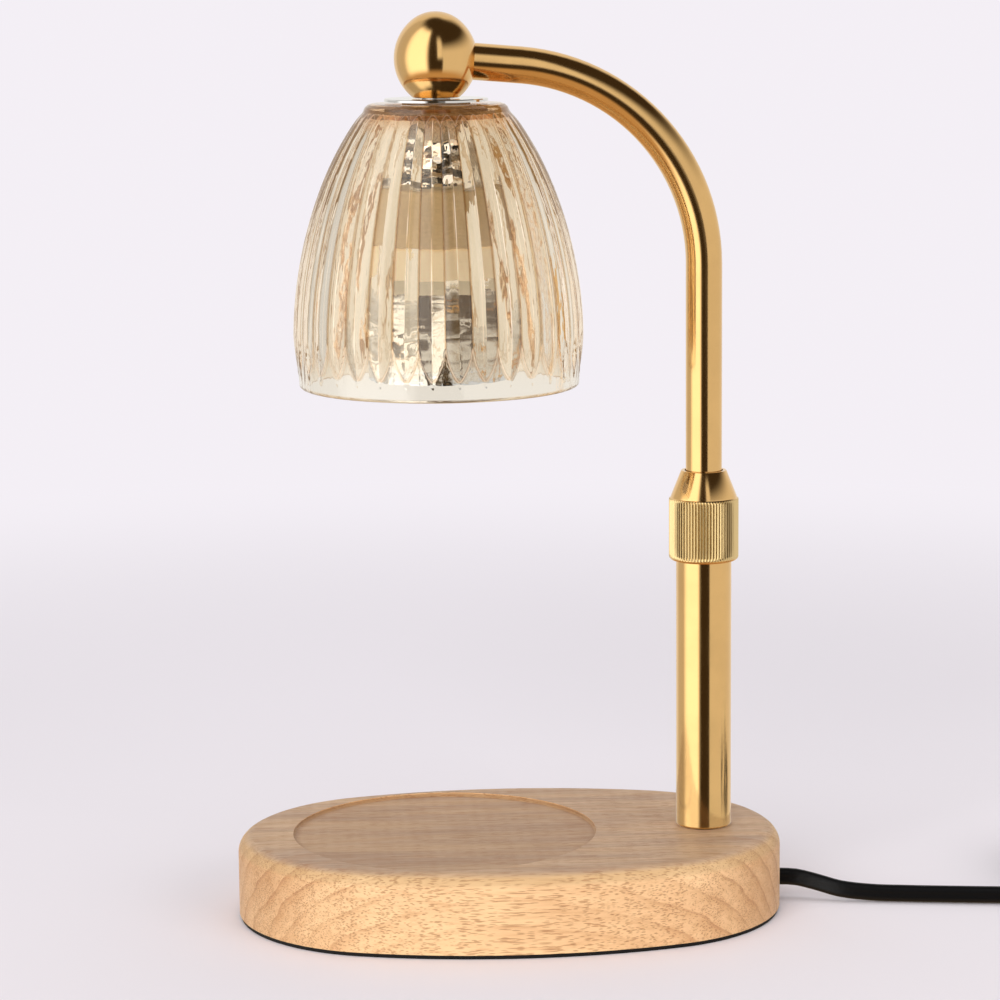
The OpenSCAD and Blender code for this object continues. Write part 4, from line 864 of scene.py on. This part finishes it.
class LAMP_OT_gold(bpy.types.Operator):
    """Plates the post, the collar, the arm and the ball"""
    bl_idname = "lamp.gold"
    bl_label = "Gold tubes"

    def execute(self, context):
        s = context.scene.lamp_metal
        gold = metal("polished_gold", s.gold, 0.11, 0.05)
        dress(gold, "post_tube", "arm_tube", "arm_end_bush", "lamp_ball", "clamp_collar")
        self.ball(gold)
        self.collar(collar_material(s))
        return {"FINISHED"}

    def collar(self, material):
        """The clamp collar: a knurled band under a polished cone"""
        ridges, steps, depth, half = 70, 10, 0.00045, 0.0125
        foot, knurl_top, top = 0.128, 0.1505, 0.1605
        knurl = [(half, 0.1292), (half, 0.1297)]
        knurl += [(half, 0.1302 + (knurl_top - 0.1312) * i / 6) for i in range(7)]
        profile = [(0.0102, foot), (0.0112, foot)]
        profile += arc(0.0112, foot + 0.0013, 0.0013, -90, 0, 5)[1:]
        profile += knurl + [(half, knurl_top - 0.0004), (half - 0.0002, knurl_top)]
        profile += [(0.0119, knurl_top + 0.00035), (0.0118, knurl_top + 0.0008)]
        profile += [(0.0082, top - 0.0002), (0.0080, top), (0.0069, top), (0.0069, top - 0.002),
                    (0.0102, top - 0.008)]
        bm = turned(profile, (POST_X, 0), ridges * steps, True, ridges)
        for vert in bm.verts:
            dx, dy = vert.co.x - POST_X, vert.co.y
            radius = math.hypot(dx, dy)
            if abs(radius - half) > 1e-5 or not 0.1290 < vert.co.z < knurl_top - 1e-6:
                continue
            place = math.atan2(dy, dx) / (2 * math.pi) * ridges
            share = abs(place - round(place)) * 2
            ends = clamp01((vert.co.z - 0.1290) / 0.0010) * clamp01((knurl_top - vert.co.z) / 0.0005)
            scale = (half - depth * ends * clamp01((share - 0.25) / 0.75)) / radius
            vert.co.x, vert.co.y = POST_X + dx * scale, dy * scale
        new_object("knurled_collar", bm, material, "collar", 24, ("clamp_collar",))

    def ball(self, gold):
        """A little taller than round: end arcs and flatter side arcs that meet smoothly"""
        widest, half_height, tip, foot, middle = 0.0147, 0.0164, 0.0132, 0.0135, 0.30804
        rise = half_height - tip
        flat = (widest ** 2 + rise ** 2 - tip ** 2) / (2 * (widest - tip))
        side = widest - flat
        meet = math.degrees(math.atan2(rise, -side))
        low = -math.degrees(math.asin((foot - rise) / tip))
        profile = [(0, middle - 0.009), (0.00505, middle - 0.009), (0.00505, middle - foot)]
        profile += arc(0, middle - rise, tip, low, -meet, 4)
        profile += arc(side, middle, flat, -meet, meet, 40)[1:]
        profile += arc(0, middle + rise, tip, meet, 90, 28)[1:]
        bm = turned(profile, (HEAD_X, 0), 96)
        new_object("gold_ball", bm, gold, "arm", 30, ("lamp_ball",))


class LAMP_OT_wood(bpy.types.Operator):
    """Gives the base its wood and its foam pad"""
    bl_idname = "lamp.wood"
    bl_label = "Wooden base"

    def execute(self, context):
        dress(wood_material(context.scene.lamp_wood), "wooden_base")
        dress(moulded("foam_pad", (0.004, 0.004, 0.004), 0.85, 2400.0, 0.08, 0.0001, 1.0),
              "anti_slip_pad")
        return {"FINISHED"}


class LAMP_OT_fittings(bpy.types.Operator):
    """Finishes the washers, nuts, gaskets, bracket and lamp holder"""
    bl_idname = "lamp.fittings"
    bl_label = "Fittings"

    def execute(self, context):
        s = context.scene.lamp_metal
        steel = metal("zinc_steel", s.steel, 0.28, 0.12, 120.0, 0.00002)
        dress(steel, "post_foot", "post_stud", "base_washer", "base_nut", "post_head", "snap_ring",
              "ball_nipple", "bracket_screws", "switch_screws")
        dress(metal("bright_nickel", (0.80, 0.79, 0.77), 0.06, 0.06, 90.0), "shade_washer",
              "plug_blades", "bulb_pins")
        pressed = metal("pressed_nickel", (0.86, 0.85, 0.82), 0.10, 0.06, 420.0, 0.0005)
        dress(pressed, "holder_bracket", "nipple_nut", "bracket_nut", "clamp_washer")
        self.sleeve(foil_material())
        dress(moulded("nylon", (0.78, 0.76, 0.70), 0.42, 1200.0, 0.02), "clamp_collet",
              "guide_ring")
        dress(moulded("silicone", (0.70, 0.69, 0.66), 0.35, 900.0, 0.02, Subsurface_Weight=0.2),
              "top_gasket", "inner_gasket")
        # Painted light: the lamp holder and the bulb base are painted lighter and made to glow faintly,
        # for the light that reaches them through the glass
        dress(moulded("steatite", (0.80, 0.66, 0.42), 0.75, 1400.0, 0.06, 0.00006,
                      Emission_Color=(1.0, 0.80, 0.50, 1), Emission_Strength=0.08), "lampholder")
        dress(moulded("cream_ceramic", (0.95, 0.87, 0.66), 0.6, 1400.0, 0.03, 0.00005,
                      Emission_Color=(1.0, 0.88, 0.66, 1), Emission_Strength=0.24), "bulb_base")
        cord = cord_material(context.scene.lamp_cord)
        dress(cord, "base_lead", "arm_lead", "cord_grommet", "coil_tie", "plug_body")
        dress(moulded("black_moulding", (0.011, 0.011, 0.012), 0.38, 2200.0, 0.04, 0.00006, 0.8),
              "switch_base", "switch_cover", "switch_wheel")
        dress(cord, "power_cord", "cord_coil", "switch_lead", "plug_lead")
        return {"FINISHED"}

    def sleeve(self, material):
        """A crumpled heat sleeve over the lead above the lamp holder"""
        low, high, radius = 0.2630, 0.2790, 0.0080
        profile = [(0.0030, low)] + [(radius, low + (high - low) * i / 10) for i in range(11)]
        bm = turned(profile + [(0.0060, high)], (HEAD_X, 0), 32)
        draw = random.Random(4)
        for vert in bm.verts:
            across = Vector((vert.co.x - HEAD_X, vert.co.y, 0))
            if across.length > radius - 1e-4:
                vert.co += across.normalized() * draw.uniform(-0.0015, 0.0008)
                vert.co.z = clamp(vert.co.z + draw.uniform(-0.0005, 0.0005), low, high)
        new_object("lead_sleeve", bm, material, "arm", 12)


class LAMP_OT_bulb(bpy.types.Operator):
    """Finishes the reflector bulb"""
    bl_idname = "lamp.bulb"
    bl_label = "Bulb"

    def execute(self, context):
        dress(reflector_material(), "bulb_reflector")
        dress(clear_glass_material(), "bulb_lens", "bulb_capsule", "glass_shade")
        return {"FINISHED"}


# Stage ------------------------------------------------------------------------------------------

class LAMP_OT_stage(bpy.types.Operator):
    """Sets up the floor, the lamps and the room that shiny pieces reflect"""
    bl_idname = "lamp.stage"
    bl_label = "Stage"

    def execute(self, context):
        s = context.scene.lamp_studio
        context.scene.view_settings.view_transform = "Standard"
        self.floor(context, s)
        self.room(context, s)
        self.lamp(context, "key_panel", (-0.9, -1.9, 0.9), (0, 0, 0.12), (1.4, 1.2), 30)
        self.lamp(context, "fill_panel", (1.3, -1.6, 0.9), (0, 0, 0.12), (1.4, 1.2), 12)
        self.lamp(context, "top_panel", (0.0, 0.4, 2.2), (0, 0, 0.1), (2.0, 1.6), 16)
        return {"FINISHED"}

    def floor(self, context, s):
        bm = bmesh.new()
        bmesh.ops.create_grid(bm, x_segments=1, y_segments=1, size=6)
        mesh = bpy.data.meshes.new("floor")
        bm.to_mesh(mesh)
        bm.free()
        floor = bpy.data.objects.new("floor", mesh)
        context.scene.collection.objects.link(floor)
        material = bpy.data.materials.new("pale_floor")
        material.use_nodes = True
        tree = material.node_tree
        tree.nodes.clear()
        wires = Wiring(tree)
        out = wires.node("ShaderNodeOutputMaterial")
        matt = wires.node("ShaderNodeBsdfDiffuse")
        place = wires.node("ShaderNodeTexCoord").outputs["Object"]
        y = wires.parts(place)[1]
        away = wires.vector("LENGTH", place)
        share = wires.math("MAXIMUM", wires.span(y, -0.4, 0.5), wires.span(away, 0.5, 1.1))
        tone = wires.mix(share, tuple(s.floor), tuple(s.backdrop))
        wires.link(tone, matt.inputs["Color"])
        clear = wires.node("ShaderNodeBsdfTransparent")
        rays = wires.node("ShaderNodeLightPath").outputs
        far = wires.span(away, 0.4, 1.0)
        through = wires.math("MULTIPLY", rays["Is Transmission Ray"], wires.span(y, 0.3, 0.6))
        open_to = wires.math("MAXIMUM", rays["Is Glossy Ray"], through)
        lit = wires.node("ShaderNodeMixShader")
        wires.link(open_to, lit.inputs[0])
        wires.link(matt.outputs[0], lit.inputs[1])
        wires.link(clear.outputs[0], lit.inputs[2])
        glow = wires.node("ShaderNodeEmission")
        wires.link(tone, glow.inputs["Color"])
        seen = wires.node("ShaderNodeMixShader")
        wires.link(wires.math("MULTIPLY", far, rays["Is Camera Ray"]), seen.inputs[0])
        wires.link(lit.outputs[0], seen.inputs[1])
        wires.link(glow.outputs[0], seen.inputs[2])
        wires.link(seen.outputs[0], out.inputs["Surface"])
        mesh.materials.append(material)

    def room(self, context, s):
        """The world: an even light, the backdrop for what looks through or past the object, and
        for shiny surfaces soft panels left and right with dark gaps between and above them"""
        world = bpy.data.worlds.new("studio")
        context.scene.world = world
        world.use_nodes = True
        tree = world.node_tree
        tree.nodes.clear()
        wires = Wiring(tree)
        out = wires.node("ShaderNodeOutputWorld")
        direction = wires.node("ShaderNodeTexCoord").outputs["Generated"]
        x, y, z = wires.parts(direction)
        degrees = 180 / math.pi
        turn = wires.math("MULTIPLY", wires.math("ARCTAN2", x, wires.math("MULTIPLY", y, -1.0)),
                          degrees)
        rise = wires.math("MULTIPLY", wires.math("ARCSINE", z), degrees)

        def window(value, a, b, c, d):
            """1 between b and c, falling to 0 at a and d"""
            return wires.math("MULTIPLY", wires.span(value, a, b), wires.span(value, c, d, 1.0, 0.0))

        left = window(turn, -116, -76, -34, -18)
        right = wires.math("MULTIPLY", window(turn, 16, 19, 118, 150),
                           wires.span(rise, 12, 40, 1.0, 0.0))
        back = wires.math("MAXIMUM", wires.span(turn, 118, 150), wires.span(turn, -120, -144))
        level = wires.math("ADD", wires.math("ADD", wires.math("MULTIPLY", left, 1.75),
                                             wires.math("MULTIPLY", right, 0.78)),
                           wires.math("MULTIPLY", back, 0.85))
        above = window(rise, -6, 8, 36, 58)
        front = wires.math("MULTIPLY", window(turn, 1, 4, 14, 20), 0.9)
        level = wires.math("ADD", level, wires.math("MULTIPLY", front, above))
        # Low behind the left edges of the metal, brighter where the glass mirrors it deep inside
        rays = wires.node("ShaderNodeLightPath").outputs
        low = wires.span(rays["Ray Depth"], 1.4, 1.6, 0.2, 0.62, "LINEAR")
        level = wires.math("MAXIMUM", level, wires.math(
            "MULTIPLY", window(turn, -146, -136, -92, -82), low))
        level = wires.math("MULTIPLY", level, wires.span(rise, 56, 74, 1.0, 0.0))
        bright = wires.vector("SCALE", (1.0, 0.99, 0.97))
        wires.put(bright.node.inputs["Scale"], level)
        dark = wires.vector("ADD", bright, tuple(s.gap_colour))
        warm = wires.span(rise, -20, -36)
        mirrored = wires.mix(warm, dark, tuple(s.bounce_colour))
        # What the ribs bend into view: the backdrop straight on, dark and bright strips beside it
        aside = wires.math("MULTIPLY", wires.math("ARCTAN2", x, y), degrees)
        strips = wires.node("ShaderNodeValToRGB")
        ramp = strips.color_ramp
        ramp.interpolation = "EASE"
        pale, amber = Vector((1.03, 1.02, 1.0)), Vector((0.42, 0.22, 0.09))
        stops = [(-140, 0.75), (-100, 0.5), (-80, 0.95), (-58, 1.0), (-48, 0.4), (-40, 0.9),
                 (-33, 0.1), (-28, 0.85), (-20, 0.95), (-16, 0.1), (-13, 1.0), (-10, 0.85),
                 (-7, 0.35), (-4, 0.85), (-1, 1.05), (2, 1.0), (5, 0.7), (8, 0.35), (11, 0.95),
                 (16, 0.9), (19, 0.1), (23, 0.95), (29, 0.7), (34, 0.1), (39, 0.95), (47, 0.4),
                 (55, 0.95), (78, 0.95), (92, 0.5), (112, 0.7), (140, 0.75)]
        for i, (angle, value) in enumerate(stops):
            place = (angle + 180) / 360
            stop = ramp.elements[i] if i < 2 else ramp.elements.new(place)
            stop.position = place
            stop.color = (*amber.lerp(pale, value), 1)
        wires.link(wires.math("MULTIPLY_ADD", aside, 1 / 360, 0.5), strips.inputs[0])
        high = wires.span(wires.math("ABSOLUTE", rise), 25, 60, 1.0, 0.7)
        bent = wires.vector("MULTIPLY", strips.outputs[0], tuple(s.backdrop))
        bent = wires.vector("SCALE", bent)
        wires.put(bent.node.inputs["Scale"], high)
        shown = wires.mix(rays["Is Camera Ray"], tuple(0.45 * c for c in (0.95, 0.93, 0.93)),
                          tuple(s.backdrop))
        shown = wires.mix(rays["Is Transmission Ray"], shown, bent)
        shown = wires.mix(rays["Is Glossy Ray"], shown, mirrored)
        light = wires.node("ShaderNodeBackground")
        wires.link(shown, light.inputs["Color"])
        wires.link(light.outputs[0], out.inputs["Surface"])

    def lamp(self, context, name, place, target, size, power):
        data = bpy.data.lights.new(name, "AREA")
        data.shape = "RECTANGLE"
        data.size, data.size_y = size
        data.energy = power
        lamp = bpy.data.objects.new(name, data)
        context.scene.collection.objects.link(lamp)
        lamp.location = place
        aim = Vector(target) - Vector(place)
        lamp.rotation_euler = aim.to_track_quat("-Z", "Y").to_euler()
        lamp.visible_glossy = False
        lamp.visible_transmission = False


# Panel and registration -------------------------------------------------------------------------

OPERATORS = (LAMP_OT_camera, LAMP_OT_cords, LAMP_OT_stage, LAMP_OT_wood, LAMP_OT_gold,
             LAMP_OT_shade, LAMP_OT_fittings, LAMP_OT_bulb)
SETTINGS = (("lamp_shade", ShadeSettings), ("lamp_metal", MetalSettings),
            ("lamp_wood", WoodSettings), ("lamp_cord", CordSettings),
            ("lamp_studio", StudioSettings))


class LAMP_PT_panel(bpy.types.Panel):
    """Lists the steps that dress the lamp"""
    bl_idname = "LAMP_PT_panel"
    bl_label = "Candle Warmer Lamp"
    bl_space_type = "VIEW_3D"
    bl_region_type = "UI"
    bl_category = "Lamp"

    def draw(self, context):
        for operator in OPERATORS:
            self.layout.operator(operator.bl_idname)
        for name, group in SETTINGS:
            box = self.layout.box()
            for field in group.__annotations__:
                box.prop(getattr(context.scene, name), field)


def register():
    for name, group in SETTINGS:
        bpy.utils.register_class(group)
        setattr(bpy.types.Scene, name, bpy.props.PointerProperty(type=group))
    for item in OPERATORS + (LAMP_PT_panel,):
        bpy.utils.register_class(item)


def unregister():
    for item in reversed(OPERATORS + (LAMP_PT_panel,)):
        bpy.utils.unregister_class(item)
    for name, group in reversed(SETTINGS):
        delattr(bpy.types.Scene, name)
        bpy.utils.unregister_class(group)


def main():
    register()
    bpy.ops.lamp.camera()
    bpy.ops.lamp.cords()
    bpy.ops.lamp.stage()
    bpy.ops.lamp.wood()
    bpy.ops.lamp.gold()
    bpy.ops.lamp.shade()
    bpy.ops.lamp.fittings()
    bpy.ops.lamp.bulb()
    bpy.context.view_layer.update()


if __name__ == "__main__":
    main()
